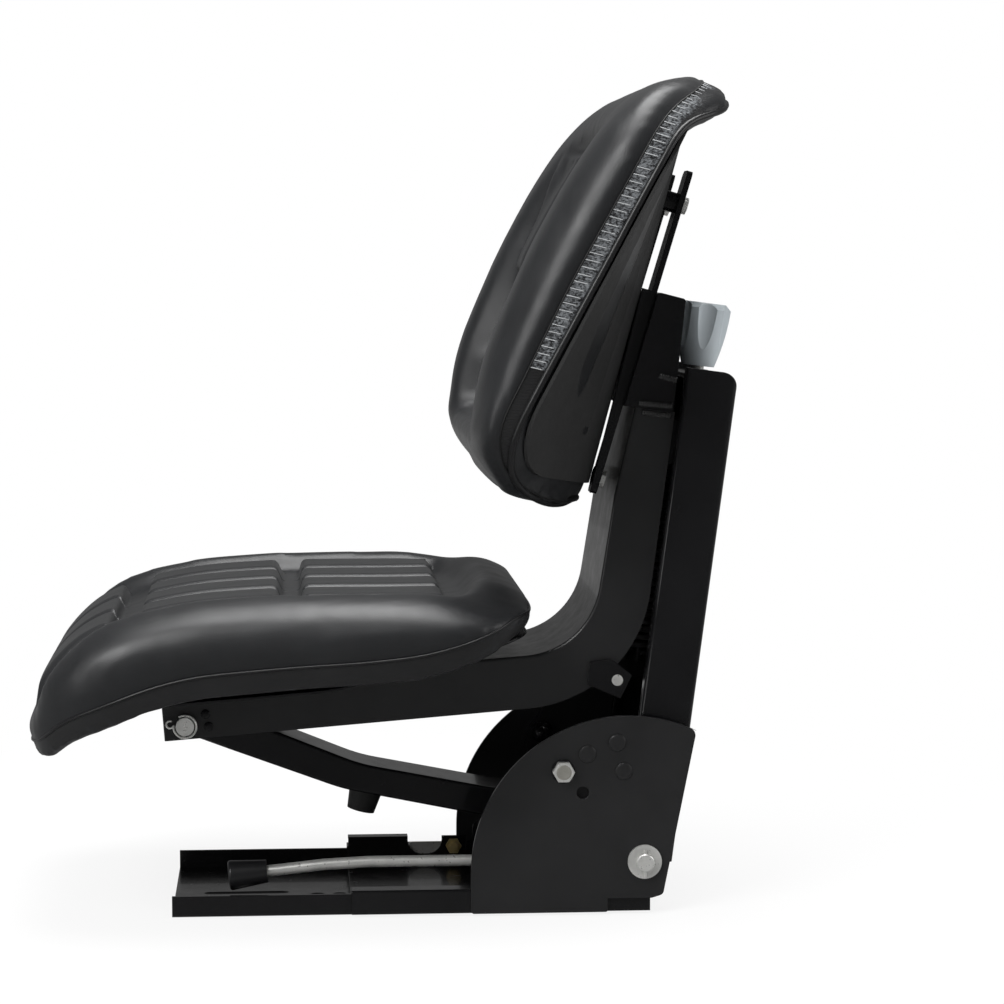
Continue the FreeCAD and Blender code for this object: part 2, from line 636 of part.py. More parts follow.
# Tilt bolts: hexagon head, washer and the shank in the fan plate's hole
head_in = fan_outer + 2
head = hexagon_bar("bolt_across_flats", size("bolt_head"), Vector(head_in, *bolt_place),
                   Vector(1, 0, 0))
dome = Part.makeCone(size("bolt_across_flats") * 0.95, size("bolt_across_flats") * 0.42,
                     size("bolt_head") * 1.6, Vector(head_in - 2, *bolt_place), Vector(1, 0, 0))
shank = rod("bolt_size", fan_face, head_in + 1, *bolt_place)
solid("tilt_bolts", both_sides(head.common(dome).fuse(shank).removeSplitter()))
solid("tilt_bolt_washers", both_sides(tube(
    "bolt_washer", "bolt_size + 2 * pin_clearance", fan_outer, head_in, *bolt_place)))

# Column: a wide channel, open to the front between its lips
column_back = "(column_front + column_depth)"
channel_middle = "(column_front + column_depth / 2)"
half_c = f"{COLUMN_WIDTH} / 2"
column_bend = 3
column = new_body("column_channel", COLUMN)
section = new_sketch(column, "XY_Plane")
right = [
    (half_c, column_back, 6), (half_c, "column_front", 4),
    (f"{half_c} - column_lip", "column_front"),
    (f"{half_c} - column_lip", "column_front + column_gauge"),
    (f"{half_c} - column_gauge", "column_front + column_gauge"),
    (f"{half_c} - column_gauge", f"{column_back} - column_gauge", column_bend)]
left = [(f"-({c[0]})",) + c[1:] for c in reversed(right)]
draw(section, right + left)
pad(column, section, "column_height", middle=False)
for side in ("", "-"):
    foot = new_sketch(column, "YZ_Plane", f"{side}({half_c} - column_gauge / 2)")
    draw_circle(foot, 0, 0, "2 * column_foot")
    pad(column, foot, "column_gauge")
crown = new_sketch(column, "YZ_Plane")
crown_back = f"{column_back} - column_corner - 2"
draw(crown, [
    (f"{column_back} + 2", "column_height + 2"), (crown_back, "column_height + 2"),
    (crown_back, "column_height"), (column_back, "column_height", "column_corner"),
    (column_back, "column_height - column_corner - 2"),
    (f"{column_back} + 2", "column_height - column_corner - 2")])
cut(column, crown, f"{COLUMN_WIDTH} + 2")
pin_bore = new_sketch(column, "YZ_Plane")
draw_circle(pin_bore, 0, 0, "pin_size + 2 * pin_clearance")
cut(column, pin_bore, f"{COLUMN_WIDTH} + 2")

# Column cap: closes the column's top and carries the spindle
cap_top = "column_height - cap_below"
inner_half = size(f"{half_c} - column_gauge")
cap = new_body("column_cap", COLUMN)
plate = new_sketch(cap, "XY_Plane", f"{cap_top} - cap_gauge")
cap_back = f"{column_back} - column_gauge"
draw(plate, [
    (-inner_half, "column_front + column_gauge"), (inner_half, "column_front + column_gauge"),
    (inner_half, cap_back, 3), (-inner_half, cap_back, 3)])
draw_circle(plate, 0, channel_middle, "spindle_size + 2 * pin_clearance")
pad(cap, plate, "cap_gauge", middle=False)

# Column gussets: side plates that carry the arm's pivot and the tilt nuts
bolt_local = to_frame(COLUMN, *bolt_place)
arm_pivot = (-size("arm_pivot_front"), size("arm_pivot_up"))
gusset_outline = [
    (20, "2 - column_foot", 18), (-24, "-column_foot + 1", 16), (arm_pivot[0] - 24, 14, 18),
    (bolt_local[0] - 16, bolt_local[1] - 4, 14), (bolt_local[0] + 6, "gusset_top - 18", 26),
    (-20, "gusset_top", 6), (22, "gusset_top", 6)]
gusset_middle = f"({half_c} + gusset_gauge / 2)"
for side, name in (("", "column_gusset_left"), ("-", "column_gusset_right")):
    gusset = new_body(name, COLUMN)
    plate = new_sketch(gusset, "YZ_Plane", f"{side}{gusset_middle}")
    draw(plate, gusset_outline)
    draw_circle(plate, 0, 0, "pin_size + 2 * pin_clearance")
    draw_circle(plate, arm_pivot[0], arm_pivot[1], "arm_pin")
    draw_circle(plate, bolt_local[0], bolt_local[1], "bolt_size + 2 * pin_clearance")
    pad(gusset, plate, "gusset_gauge")

# Tilt nuts: domed nuts on the gussets' inner faces
gusset_in = size(half_c)
nut_in = gusset_in - 8
nut = hexagon_bar("bolt_across_flats", gusset_in - nut_in, Vector(nut_in, *bolt_local),
                  Vector(1, 0, 0))
nut = nut.fuse(Part.makeSphere(7, Vector(nut_in + 1, *bolt_local)))
nut = nut.cut(rod("bolt_size", nut_in + 2, gusset_in + 1, *bolt_local))
solid("tilt_nuts", both_sides(nut.fuse(tube(
    21, "bolt_size", gusset_in - 2, gusset_in, *bolt_local))), COLUMN)

# Arm pivot pin and its spacer tubes
gusset_out = gusset_in + size("gusset_gauge")
solid("arm_pivot_pin", rod("arm_pin", -gusset_out, gusset_out, *arm_pivot), COLUMN)
arm_half = size("arm_width / 2")
spacer = tube("arm_pin + 8", "arm_pin + 2 * pin_clearance",
              arm_half + size("side_play"), gusset_in, *arm_pivot)
solid("arm_pivot_spacers", both_sides(spacer), COLUMN)

# Swing arm: a bent box tube from the column's foot to the front of the seat frame
front_eye = (-size(FRONT_PIN), size("front_pin_up"))
arm_scale = size(ARM_SCALE)
arm_top = [
    (arm_pivot[0] + 16, arm_pivot[1] + 15, 8), (-130 * arm_scale, 34.5, 90),
    (-255 * arm_scale, 42, 160), (-352 * arm_scale, 67, 60),
    (front_eye[0] - 14, front_eye[1] + 19, 8)]
arm_bottom = [
    (front_eye[0] - 15, front_eye[1] - 12, 8), (-372 * arm_scale, 41, 60),
    (-268 * arm_scale, 17.5, 160), (-140 * arm_scale, 8.5, 90),
    (arm_pivot[0] + 17, arm_pivot[1] - 15, 8)]
arm_outline = arm_top + arm_bottom
arm = new_body("swing_arm", COLUMN)
profile = new_sketch(arm, "YZ_Plane")
draw(profile, arm_outline)
hub_size = "arm_pin + 2 * pin_clearance + 2 * hub_wall"
eye_size = "front_pin + 2 * front_bush_clearance + 2 * hub_wall"
pad(arm, profile, "arm_width")
ends_open = [-4 if i in (len(arm_top) - 1, len(arm_outline) - 1) else size("arm_gauge")
             for i in range(len(arm_outline))]
bore = new_sketch(arm, "YZ_Plane")
draw(bore, [c[:2] + (max(c[2], 3),) for c in offset(arm_outline, ends_open)])
cut(arm, bore, "arm_width - 2 * arm_gauge")
round_edges(arm, "0.9 * arm_gauge", beside_web(size("arm_width / 2")))
hub_holes = new_sketch(arm, "YZ_Plane")
draw_circle(hub_holes, arm_pivot[0], arm_pivot[1], hub_size)
draw_circle(hub_holes, front_eye[0], front_eye[1], eye_size)
cut(arm, hub_holes, "arm_width + 2")

# Arm hubs: cross tubes welded through the arm
hubs = [
    tube(hub_size, "arm_pin + 2 * pin_clearance", -arm_half, arm_half, *arm_pivot),
    tube(eye_size, "front_pin + 2 * front_bush_clearance", -arm_half, arm_half, *front_eye)]
solid("arm_hubs", Part.makeCompound(hubs), COLUMN)

# Bump stop: a rubber cone under the arm
arm_at_stop = (-size("stop_front") * arm_scale, 14.6)
slope_angle = math.radians(11)
stop_axis = Vector(0, -math.sin(slope_angle) * 0.6, -math.cos(slope_angle))
stop = Part.makeCone(size("stop_size") / 2, size("stop_size") / 2 - 2.5, size("stop_height"),
                     Vector(0, *arm_at_stop), stop_axis)
solid("bump_stop", stop, COLUMN)

# Seat frame: a pressed channel, bent from seat to back, open below and behind
slope = math.tan(math.radians(size("frame_slope")))
rise = 1 / math.cos(math.radians(size("frame_slope")))
frame_back, frame_front = size("frame_back"), -size("frame_front")
depth = size("frame_depth")
heel = size("frame_foot") + slope * (frame_back - frame_front)
toe_shift = depth * math.sin(math.radians(size("frame_slope")))
toe = (frame_front - toe_shift, size("frame_foot") + depth / rise)
inner_heel = toe[1] + slope * (frame_back - depth - toe[0])
frame_outline = [
    (frame_front, "frame_foot"), (frame_back, heel, "frame_bend"), (frame_back, "frame_top"),
    ("frame_back - frame_neck", "frame_top"), (frame_back - depth + 3.7, 315, 60),
    (frame_back - depth, inner_heel, "frame_bend - frame_depth"), toe + (8,)]
seat_frame = new_body("seat_frame", COLUMN)
profile = new_sketch(seat_frame, "YZ_Plane")
draw(profile, frame_outline)
pad(seat_frame, profile, FRAME_WIDTH)
wall = size("frame_gauge")
hollow = new_sketch(seat_frame, "YZ_Plane")
open_sides = [-6, -6, -6, wall, wall, wall, -6]
hollow_outline = offset(frame_outline, open_sides)
hollow_outline[1] = hollow_outline[1][:2] + (size("frame_bend"),)
draw(hollow, hollow_outline)
cut(seat_frame, hollow, f"{FRAME_WIDTH} - 2 * frame_gauge")
frame_half = size(FRAME_WIDTH) / 2
pins = new_sketch(seat_frame, "YZ_Plane")
draw_circle(pins, front_eye[0], front_eye[1], "front_pin + 2 * pin_clearance")
cut(seat_frame, pins, f"{FRAME_WIDTH} + 2")
seat_bolt_places = [(side * size("seat_bolt_side"), size(row)) for side in (-1, 1)
                    for row in ("seat_bolt_front", "seat_bolt_back")]
web_holes = new_sketch(seat_frame, "XY_Plane")
web_holes.AttachmentOffset = FreeCAD.Placement(
    Vector(0, *toe), FreeCAD.Rotation(Vector(1, 0, 0), size("frame_slope")))
drive(web_holes, "AttachmentOffset.Rotation.Angle", "frame_slope * 1 deg")
for x, s in seat_bolt_places:
    draw_circle(web_holes, x, s, "seat_bolt")
cut(seat_frame, web_holes, "frame_gauge * 4")
round_edges(seat_frame, "0.9 * frame_gauge", beside_web(frame_half))

# Front pin and its wire clips
pin_tip = frame_half + 7
front_pin = rod("front_pin", -pin_tip, pin_tip, *front_eye)
for side in (1, -1):
    front_pin = front_pin.cut(Part.makeCylinder(
        1.6, 40, Vector(side * (frame_half + 3.2), front_eye[0], front_eye[1] - 20)))
solid("front_pin", front_pin, COLUMN)
clip = Part.makeCylinder(1.5, 20, Vector(frame_half + 3.2, front_eye[0], front_eye[1] - 10))
clip = clip.fuse(Part.makeTorus(5, 1.5, Vector(frame_half + 3.2, front_eye[0],
                                               front_eye[1] + 14.8), Vector(1, 0, 0)))
solid("front_pin_clips", both_sides(clip), COLUMN)

# Roller lugs: plates inside the seat frame that reach back into the column
middle_d = size(channel_middle)
roller_d = size("column_depth - 2 * column_gauge - 2 * roller_clearance")
roller_at = (middle_d, size("roller_up"))
lug_out = frame_half - wall
lug_in = lug_out - size("lug_gauge")
axle_r = size("roller_axle") / 2
lug_half = size("lug_height") / 2
lug_face = Part.Face(Part.makePolygon([Vector(lug_in, d, w) for d, w in [
    (frame_back - 26, roller_at[1] - lug_half), (frame_back, roller_at[1] - lug_half),
    (middle_d + 9, roller_at[1] - 11), (middle_d + 9, roller_at[1] + 11),
    (frame_back, roller_at[1] + lug_half), (frame_back - 26, roller_at[1] + lug_half),
    (frame_back - 26, roller_at[1] - lug_half)]]))
lug = lug_face.extrude(Vector(lug_out - lug_in, 0, 0)).cut(
    rod("roller_axle", lug_in - 1, lug_out + 1, *roller_at))
solid("roller_lugs", both_sides(lug), COLUMN)

# Rollers on stub axles: they run between the column's lips and its web
roller_end = inner_half - column_bend - size("side_play")
roller_start = roller_end - size("roller_width")
axle = rod("roller_axle", lug_in, roller_end, *roller_at).fuse(
    rod("roller_axle + 8", lug_out, roller_start - size("side_play"), *roller_at))
solid("roller_axles", both_sides(axle.removeSplitter()), COLUMN)
for side, name in ((1, "roller_left"), (-1, "roller_right")):
    wheel = tube(roller_d, "roller_axle + 2 * pin_clearance",
                 min(side * roller_start, side * roller_end),
                 max(side * roller_start, side * roller_end), *roller_at)
    rims = [e for e in wheel.Edges if abs(e.BoundBox.YLength - roller_d) < 0.01]
    solid(name, wheel.makeFillet(1.5, [e for e in rims if len(e.Vertexes) == 1]), COLUMN)

# Spring anchor: two tabs on the seat frame's sides and the bar between them
anchor_at = (-size("anchor_front"), size("anchor_up"))
tab_face = Part.Face(Part.makePolygon([Vector(frame_half, d, w) for d, w in [
    (-68, 146), (-37, 137), (-29.5, 159), (-50, 171), (-68, 166), (-68, 146)]]))
tab = tab_face.extrude(Vector(size("tab_gauge"), 0, 0))
tab_end = frame_half + size("tab_gauge")
tab = tab.cut(rod("anchor_bar", frame_half - 1, tab_end + 1, *anchor_at))
solid("spring_tabs", both_sides(tab), COLUMN)
solid("anchor_bar", rod("anchor_bar", -tab_end, tab_end, *anchor_at), COLUMN)

# Spring hook: a turned plug in the coil's foot and the eye that hangs on the bar
spring_at = -size("spring_front")
spring_foot = size("spring_foot")
plug_r = size("spring_size / 2 - spring_wire") - 0.8


def upright(diameter, w0, w1, d):
    return Part.makeCylinder(size(diameter) / 2, w1 - w0, Vector(0, d, w0))


eye_gauge = 8
hook_face = Part.Face(Part.makePolygon([Vector(-eye_gauge / 2, d, w) for d, w in [
    (anchor_at[0] - 9, anchor_at[1] - 3), (anchor_at[0], anchor_at[1] - 10),
    (spring_at + 8, spring_foot - 20), (spring_at + 10, spring_foot - 6),
    (anchor_at[0] + 4, spring_foot - 6), (anchor_at[0] - 9, anchor_at[1] - 3)]]))
hook = hook_face.extrude(Vector(eye_gauge, 0, 0))
hook = hook.cut(rod("anchor_bar + 2 * pin_clearance", -9, 9, *anchor_at))
hook = hook.fuse(upright("spring_size - 2", spring_foot - 6, spring_foot, spring_at))
hook = hook.fuse(upright(2 * plug_r, spring_foot - 1, spring_foot + 12, spring_at))
solid("spring_hook", hook.removeSplitter(), COLUMN)

# Spring: a close coil, its wire drawn with six sides round a ten-sided turn
wire_half = size("spring_wire") / 2
coil_r = size("spring_size") / 2 - wire_half
pitch, turns, steps = size("spring_pitch"), round(size("spring_turns")), 10
stations = []
for n in range(turns * steps + 1):
    angle = 2 * math.pi * n / steps
    out = Vector(math.cos(angle), math.sin(angle), 0)
    centre = Vector(0, spring_at, spring_foot + wire_half + pitch * n / steps) + out * coil_r
    stations.append([centre + out * (wire_half * math.cos(k * math.pi / 3))
                     + Vector(0, 0, wire_half * math.sin(k * math.pi / 3)) for k in range(6)])
facets = []
for this, after in zip(stations, stations[1:]):
    for k in range(6):
        a, b, c, e = this[k], this[(k + 1) % 6], after[(k + 1) % 6], after[k]
        facets.append(Part.Face(Part.makePolygon([a, b, c, a])))
        facets.append(Part.Face(Part.makePolygon([a, c, e, a])))
for ring in (stations[0], stations[-1]):
    facets.append(Part.Face(Part.makePolygon(ring + ring[:1])))
coil = Part.Shell(facets)
coil.sewShape()
coil = Part.Solid(coil)
if coil.Volume < 0:
    coil.reverse()
solid("spring", coil, COLUMN)

# Spring yoke: a block on the spindle's thread with the upper plug on its front end
spring_head = spring_foot + pitch * turns + 2 * wire_half
yoke = Part.makeBox(30, middle_d + 14 - spring_at + 20, 10,
                    Vector(-15, spring_at - 20, spring_head))
yoke = yoke.makeFillet(9, [e for e in yoke.Edges if abs(e.BoundBox.ZLength - 10) < 0.01])
yoke = yoke.fuse(upright(2 * plug_r, spring_head - 12, spring_head + 1, spring_at))
yoke = yoke.cut(upright("spindle_size + 2 * pin_clearance", spring_head - 14,
                        spring_head + 12, middle_d))
solid("spring_yoke", yoke.removeSplitter(), COLUMN)

# Adjuster: spindle, its thrust collar and the moulded knob on the column's top
cap_face = size(cap_top)
knob_foot_w = size("column_height + knob_gap")
spindle = upright("spindle_size", spring_head + 0.5, knob_foot_w + 30, middle_d)
spindle = spindle.fuse(upright("spindle_size + 8", cap_face + 0.3, cap_face + 4, middle_d))
solid("adjuster_spindle", spindle.removeSplitter(), COLUMN)
knob_h = size("knob_height")
knob_edge = size("knob_edge")
foot_r, waist_r, top_r = (size(f"knob_{part} / 2") for part in ("foot", "waist", "top"))
knob_side = Part.BSplineCurve()
knob_side.interpolate([Vector(foot_r, 0, 0), Vector(waist_r, 0, knob_h * 0.4),
                       Vector(top_r, 0, knob_h - knob_edge)])
knob_outline = Part.makePolygon([
    Vector(top_r, 0, knob_h - knob_edge), Vector(top_r - knob_edge, 0, knob_h),
    Vector(0, 0, knob_h), Vector(0, 0, 0), Vector(foot_r, 0, 0)])
knob = Part.Face(Part.Wire([knob_side.toShape(), *knob_outline.Edges]))
knob = knob.revolve(Vector(0, 0, 0), Vector(0, 0, 1), 360)
knob.translate(Vector(0, middle_d, knob_foot_w))
flute_r = size("knob_flute / 2")
flute_at = top_r + flute_r - size("knob_flute_depth")
for n in range(6):
    turn = math.radians(60 * n)
    knob = knob.cut(Part.makeCylinder(flute_r, knob_h + 2, Vector(
        flute_at * math.cos(turn), middle_d + flute_at * math.sin(turn), knob_foot_w - 1)))
knob = knob.cut(upright("spindle_size", knob_foot_w - 1, knob_foot_w + 30, middle_d))
solid("adjuster_knob", knob, COLUMN)

# Back panel frame: straps, post, panel and pad lean together.
# The straps stand off the panel on spacers and lean back from it
panel_back = size("seat_gap + panel_gauge")
strap_foot = Vector(0, panel_back + size("strap_standoff"), 0)
strap_half, strap_gauge = size("strap_width") / 2, size("strap_gauge")
strap_turn = math.radians(size("strap_lean"))
strap_length = size(STRAP_LENGTH)
before_panel = Part.makeBox(size("back_width"), 50, 2 * strap_length,
                            Vector(-size("back_width") / 2, panel_back - 50, -strap_length / 2))


def strap_rear(w):
    """How far back the straps' rear faces are at a height."""
    return strap_foot.y + strap_gauge / math.cos(strap_turn) + w * math.tan(strap_turn)


straps, strap_bolts = [], []
for x in (-size("strap_side"), size("strap_side")):
    strap = Part.makeBox(2 * strap_half, strap_gauge, strap_length, Vector(x - strap_half, 0, 0))
    strap = strap.makeFillet(size("strap_corner"), [
        e for e in strap.Edges if abs(e.BoundBox.YLength - strap_gauge) < 0.01])
    for w in (size("strap_bolt_low"), strap_length - size("strap_bolt_high")):
        through = Vector(x, strap_gauge, w)
        reach = strap_gauge + w * math.sin(strap_turn) + 5
        strap = strap.fuse(Part.makeCylinder(
            size("strap_spacer") / 2, reach, through, Vector(0, -1, 0)))
        strap = strap.cut(Part.makeCylinder(
            size("seat_bolt") / 2, reach + 1, through, Vector(0, -1, 0)))
        strap_bolts.append(small_bolt(reach, through, Vector(0, -1, 0)))
    outer = x + math.copysign(strap_half, x)
    flange = Part.makeBox(strap_gauge, size("strap_flange"), size("post_top"), Vector(
        min(outer, outer - math.copysign(strap_gauge, x)), -size("strap_flange"), 0))
    straps.append(strap.fuse(flange))
for pieces in (straps, strap_bolts):
    for i, piece in enumerate(pieces):
        piece.rotate(Vector(0, 0, 0), Vector(-1, 0, 0), size("strap_lean"))
        piece.translate(strap_foot)
        pieces[i] = piece.cut(before_panel).removeSplitter()
solid("backrest_straps", Part.makeCompound(straps), BACK)
solid("strap_bolts", Part.makeCompound(strap_bolts), BACK)

# Backrest post: a tapered box on the seat frame's top that carries the straps
frame_top_w = size("frame_top")


def back_from_column(d, w):
    return to_frame(BACK, *to_world(COLUMN, d, w))


front_low = back_from_column(frame_back - size("frame_neck") - 8, frame_top_w)
rear_low = back_from_column(frame_back - 1.3, frame_top_w)
lean_in = (rear_low[1] - front_low[1]) / (rear_low[0] - front_low[0])
low_w = rear_low[1] + lean_in * (strap_rear(0) - rear_low[0])
low_w /= 1 - lean_in * math.tan(strap_turn)
post_head = size("post_top")
post_outline = [
    (strap_rear(low_w), low_w), rear_low, (strap_rear(post_head) + size("post_neck"), post_head, 3),
    (strap_rear(post_head), post_head, 3)]
post = new_body("backrest_post", BACK)
profile = new_sketch(post, "YZ_Plane")
draw(profile, post_outline)
pad(post, profile, FRAME_WIDTH)
hollow = new_sketch(post, "YZ_Plane")
post_wall = size("post_gauge")
draw(hollow, [c[:2] for c in offset(post_outline, [-6, -6, post_wall, post_wall])])
cut(post, hollow, f"{FRAME_WIDTH} - 2 * post_gauge")

# Backrest panel: a shell bent forward at its sides, more at the foot than at the head
panel_half = size("back_width / 2 - panel_inset")
panel_ends = (("panel_foot", "panel_wrap_low"), ("back_height - panel_from_top", "panel_wrap_high"))
bend = size("panel_bend")


def panel_line(wrap, level, out, radius):
    """The panel's section at one height: flat in the middle, swept forward outside it."""
    flat = size("panel_flat / 2")
    run = panel_half - flat
    drop = size(wrap) * (out - flat) / run
    return [(-out, level - drop), (-flat, level, radius), (flat, level, radius),
            (out, level - drop)]


panel = new_body("backrest_panel", BACK)
sections = []
for height, wrap in panel_ends:
    section = new_sketch(panel, "XY_Plane", height)
    front = panel_line(wrap, size("seat_gap"), panel_half + 10, bend - size("panel_gauge"))
    draw(section, panel_line(wrap, panel_back, panel_half + 10, bend) + front[::-1])
    sections.append(section)
loft(panel, "Additive", sections)
trim(panel, "XZ_Plane", [
    (-panel_half, "panel_foot", 62), (panel_half, "panel_foot", 62),
    (panel_half, "back_height - panel_from_top", 70), (-panel_half, "back_height - panel_from_top", 70)])

# Backrest cushion: a deep pad with forward wings, a lip over the panel and a sunk middle
cushion = new_body("backrest_cushion", BACK)
side_view = new_sketch(cushion, "YZ_Plane")
draw(side_view, grown([
    (0, -13), (-60, -14, 20), (-102, -8, 30), (-124, 22, 30), (-116, 150, 300),
    (-80, 290, 150), (-44, 354), (-4, 363, 25), (22, 360, 8), (14, 342, 4), (0, 335)],
    BACK_SCALE))
pad(cushion, side_view, "back_width")
back_half = "back_width / 2"
round_edges(cushion, "back_roll", along_side(
    size(back_half), grown([(22, -124), (150, -116), (290, -80), (354, -44)], BACK_SCALE),
    upright=True))
outside = size("back_width / 2") + 30
sections = []
for height, wrap in panel_ends:
    section = new_sketch(cushion, "XY_Plane", height)
    draw(section, panel_line(wrap, 0, outside, bend) + [(outside, 60), (-outside, 60)])
    sections.append(section)
loft(cushion, "Subtractive", sections)
below = new_sketch(cushion, "XY_Plane", "panel_foot")
draw(below, panel_line("panel_wrap_low", 0, outside, bend) + [(outside, 60), (-outside, 60)])
pocket = cut(cushion, below, 60)
pocket.Midplane = False
trim(cushion, "XZ_Plane", [
    (f"-{back_half}", -15, 75), (back_half, -15, 75),
    (back_half, "back_height + 3", "back_corner"),
    (f"-{back_half}", "back_height + 3", "back_corner")])
recess = new_sketch(cushion, "YZ_Plane")
sunk = size("back_recess")
back_floor = [(-124 + sunk, 48), (-116 + sunk, 150), (-80 + sunk, 286), (-63 + sunk, 322)]
draw(recess, grown([
    (-140, 40), back_floor[0] + (20,), back_floor[1] + (300,), back_floor[2] + (150,),
    back_floor[3] + (14,), (-75, 380), (-150, 360)], BACK_SCALE))
cut(cushion, recess, "back_recess_width")
add_ribs(cushion, [(w, d) for d, w in grown(back_floor, BACK_SCALE)], "back_rib_width",
         -size("back_rib"), [(*ends, 4) for ends in grown([(56, 150), (168, 300)], BACK_SCALE)],
         upright=True)

# Seat: pan and cushion lie along the frame's top
seat_toe = to_world(COLUMN, *toe)
SEAT = (seat_toe[0], seat_toe[1], "(column_lean - frame_slope)")
pan = new_body("seat_pan", SEAT)
profile = new_sketch(pan, "YZ_Plane")
sheet_gauge = size("pan_gauge")
pad_gap = sheet_gauge + size("seat_gap")
pan_line = grown([(-84, -24), (-44, -13.7, 60), (-8, 0, 60), (150, 0, 200), (322, 29)],
                 SEAT_SCALE)
draw(profile, pan_line + [(s, t + sheet_gauge) + tuple(r) for s, t, *r in reversed(pan_line)])
pad(pan, profile, "pan_width")
pan_half = "pan_width / 2"
pan_front, pan_rear = pan_line[0][0] + 1, pan_line[-1][0] - 1
trim(pan, "XY_Plane", [
    (f"-{pan_half}", pan_front, 70), (pan_half, pan_front, 70),
    (pan_half, pan_rear, 60), (f"-{pan_half}", pan_rear, 60)])
bolt_holes = new_sketch(pan, "XY_Plane")
for x, s in seat_bolt_places:
    draw_circle(bolt_holes, x, s, "seat_bolt")
cut(pan, bolt_holes, 20)

# Seat bolts: heads under the frame's web, shanks up into the pan
solid("seat_bolts", Part.makeCompound([
    small_bolt(wall + sheet_gauge, Vector(x, s, -wall), Vector(0, 0, 1))
    for x, s in seat_bolt_places]), SEAT)

# Pan brace: a box strip between the frame's top and the rising back of the pan
knee, tail = pan_line[-2], pan_line[-1]
brace_outline = [(size("brace_front"), 0), (size("brace_back"), 0)]
for s, foot in reversed(brace_outline[:2]):
    brace_outline.append((s, (s - knee[0]) * tail[1] / (tail[0] - knee[0])))
brace = new_body("pan_brace", SEAT)
profile = new_sketch(brace, "YZ_Plane")
draw(profile, brace_outline)
draw(profile, offset(brace_outline, [size("brace_gauge")] * 4))
pad(brace, profile, f"{FRAME_WIDTH} - 2 * brace_inset")

# Seat cushion: a deep waterfall pad with a raised roll round a sunk middle
seat_cushion = new_body("seat_cushion", SEAT)
profile = new_sketch(seat_cushion, "YZ_Plane")
pad_top = grown([
    (332, 72), (300, 78, 60), (212, 75.5, 300), (88, 79, 150), (-13, 63, 80),
    (-76, 28, 60), (-112, -12)], SEAT_SCALE)
pad_foot = [(s, t + pad_gap, *r) for s, t, *r in grown([
    (-98, -27.6), (-44, -13.7, 60), (-8, 0, 60), (150, 0, 200), (324, 29.3, 8)], SEAT_SCALE)]
draw(profile, pad_foot + pad_top)
pad(seat_cushion, profile, "seat_width")
seat_half = "seat_width / 2"
round_edges(seat_cushion, "seat_roll", along_side(
    size(seat_half), [point[:2] for point in reversed(pad_top)]))
pad_front, pad_rear = pad_top[-1][0], pad_top[0][0] + 1
trim(seat_cushion, "XY_Plane", [
    (f"-{seat_half} + 6", pad_front, "seat_corner"), (f"{seat_half} - 6", pad_front, "seat_corner"),
    (seat_half, pad_rear, 80), (f"-{seat_half}", pad_rear, 80)])
sunk = size("seat_recess")
seat_floor = [(-86, -2), (-67.6, 32 - sunk), (-9, 64 - sunk), (88, 79 - sunk), (212, 75.5 - sunk),
              (280, 77 - sunk)]
recess = new_sketch(seat_cushion, "YZ_Plane")
draw(recess, grown([
    (-110, 95), (-110, 20), seat_floor[0] + (8,), seat_floor[1] + (60,), seat_floor[2] + (80,),
    seat_floor[3] + (150,), seat_floor[4] + (300,), seat_floor[5] + (12,), (292, 95)],
    SEAT_SCALE))
cut(seat_cushion, recess, "seat_recess_width")
rib_ends = grown([(-84, -12), (18, 122), (144, 262)], SEAT_SCALE)
add_ribs(seat_cushion, grown(seat_floor, SEAT_SCALE), "seat_rib_width", size("seat_rib"),
         [(*ends, lanes) for ends, lanes in zip(rib_ends, (3, 4, 4))])

doc.recompute()
faulty = [o.Name for o in doc.Objects if "Invalid" in o.State or "Error" in o.State]
faulty += [p.Label for p in PIECES if p.Shape.isNull() or not p.Shape.isValid()]
if faulty:
    raise RuntimeError("not built: " + ", ".join(faulty))
os.makedirs("parts", exist_ok=True)
for piece in PIECES:
    piece.Shape.exportStep(f"parts/{piece.Label}.step")
print(len(PIECES), "pieces")
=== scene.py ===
import math

import bmesh
import bpy
import numpy as np
from mathutils import Matrix, Vector


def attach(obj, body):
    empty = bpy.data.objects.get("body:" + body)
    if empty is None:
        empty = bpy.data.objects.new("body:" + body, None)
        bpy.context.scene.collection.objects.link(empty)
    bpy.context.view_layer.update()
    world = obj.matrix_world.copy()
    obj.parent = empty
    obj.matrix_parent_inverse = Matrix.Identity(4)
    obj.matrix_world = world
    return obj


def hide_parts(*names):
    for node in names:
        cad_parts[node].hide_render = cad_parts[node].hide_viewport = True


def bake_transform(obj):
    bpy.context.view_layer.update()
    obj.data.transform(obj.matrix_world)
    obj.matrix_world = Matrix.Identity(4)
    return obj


# Tractor suspension seat: upholstery, spring, small details, materials, light and camera.
# Metres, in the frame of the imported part: +X the driver's left, +Y the rear, +Z up.

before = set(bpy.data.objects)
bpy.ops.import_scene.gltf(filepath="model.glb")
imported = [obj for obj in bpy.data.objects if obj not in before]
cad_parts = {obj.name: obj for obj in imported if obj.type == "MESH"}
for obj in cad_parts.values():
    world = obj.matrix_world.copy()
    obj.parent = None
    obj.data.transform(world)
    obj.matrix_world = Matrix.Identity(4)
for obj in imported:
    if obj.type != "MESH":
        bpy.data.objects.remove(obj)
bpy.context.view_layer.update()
MM = 0.001

# The leaning frames: a point (x, rearward, up) of each one in the part's frame
COLUMN_LEAN, BACK_LEAN, SEAT_LEAN = (math.radians(a) for a in (7.5, 14.4, -4.57))
COLUMN_FOOT = Vector((0, 204.4, 46.7)) * MM
BACK_FOOT = Vector((0, 156, 370)) * MM
SEAT_TOE = Vector((0, -219.6, 200.1)) * MM


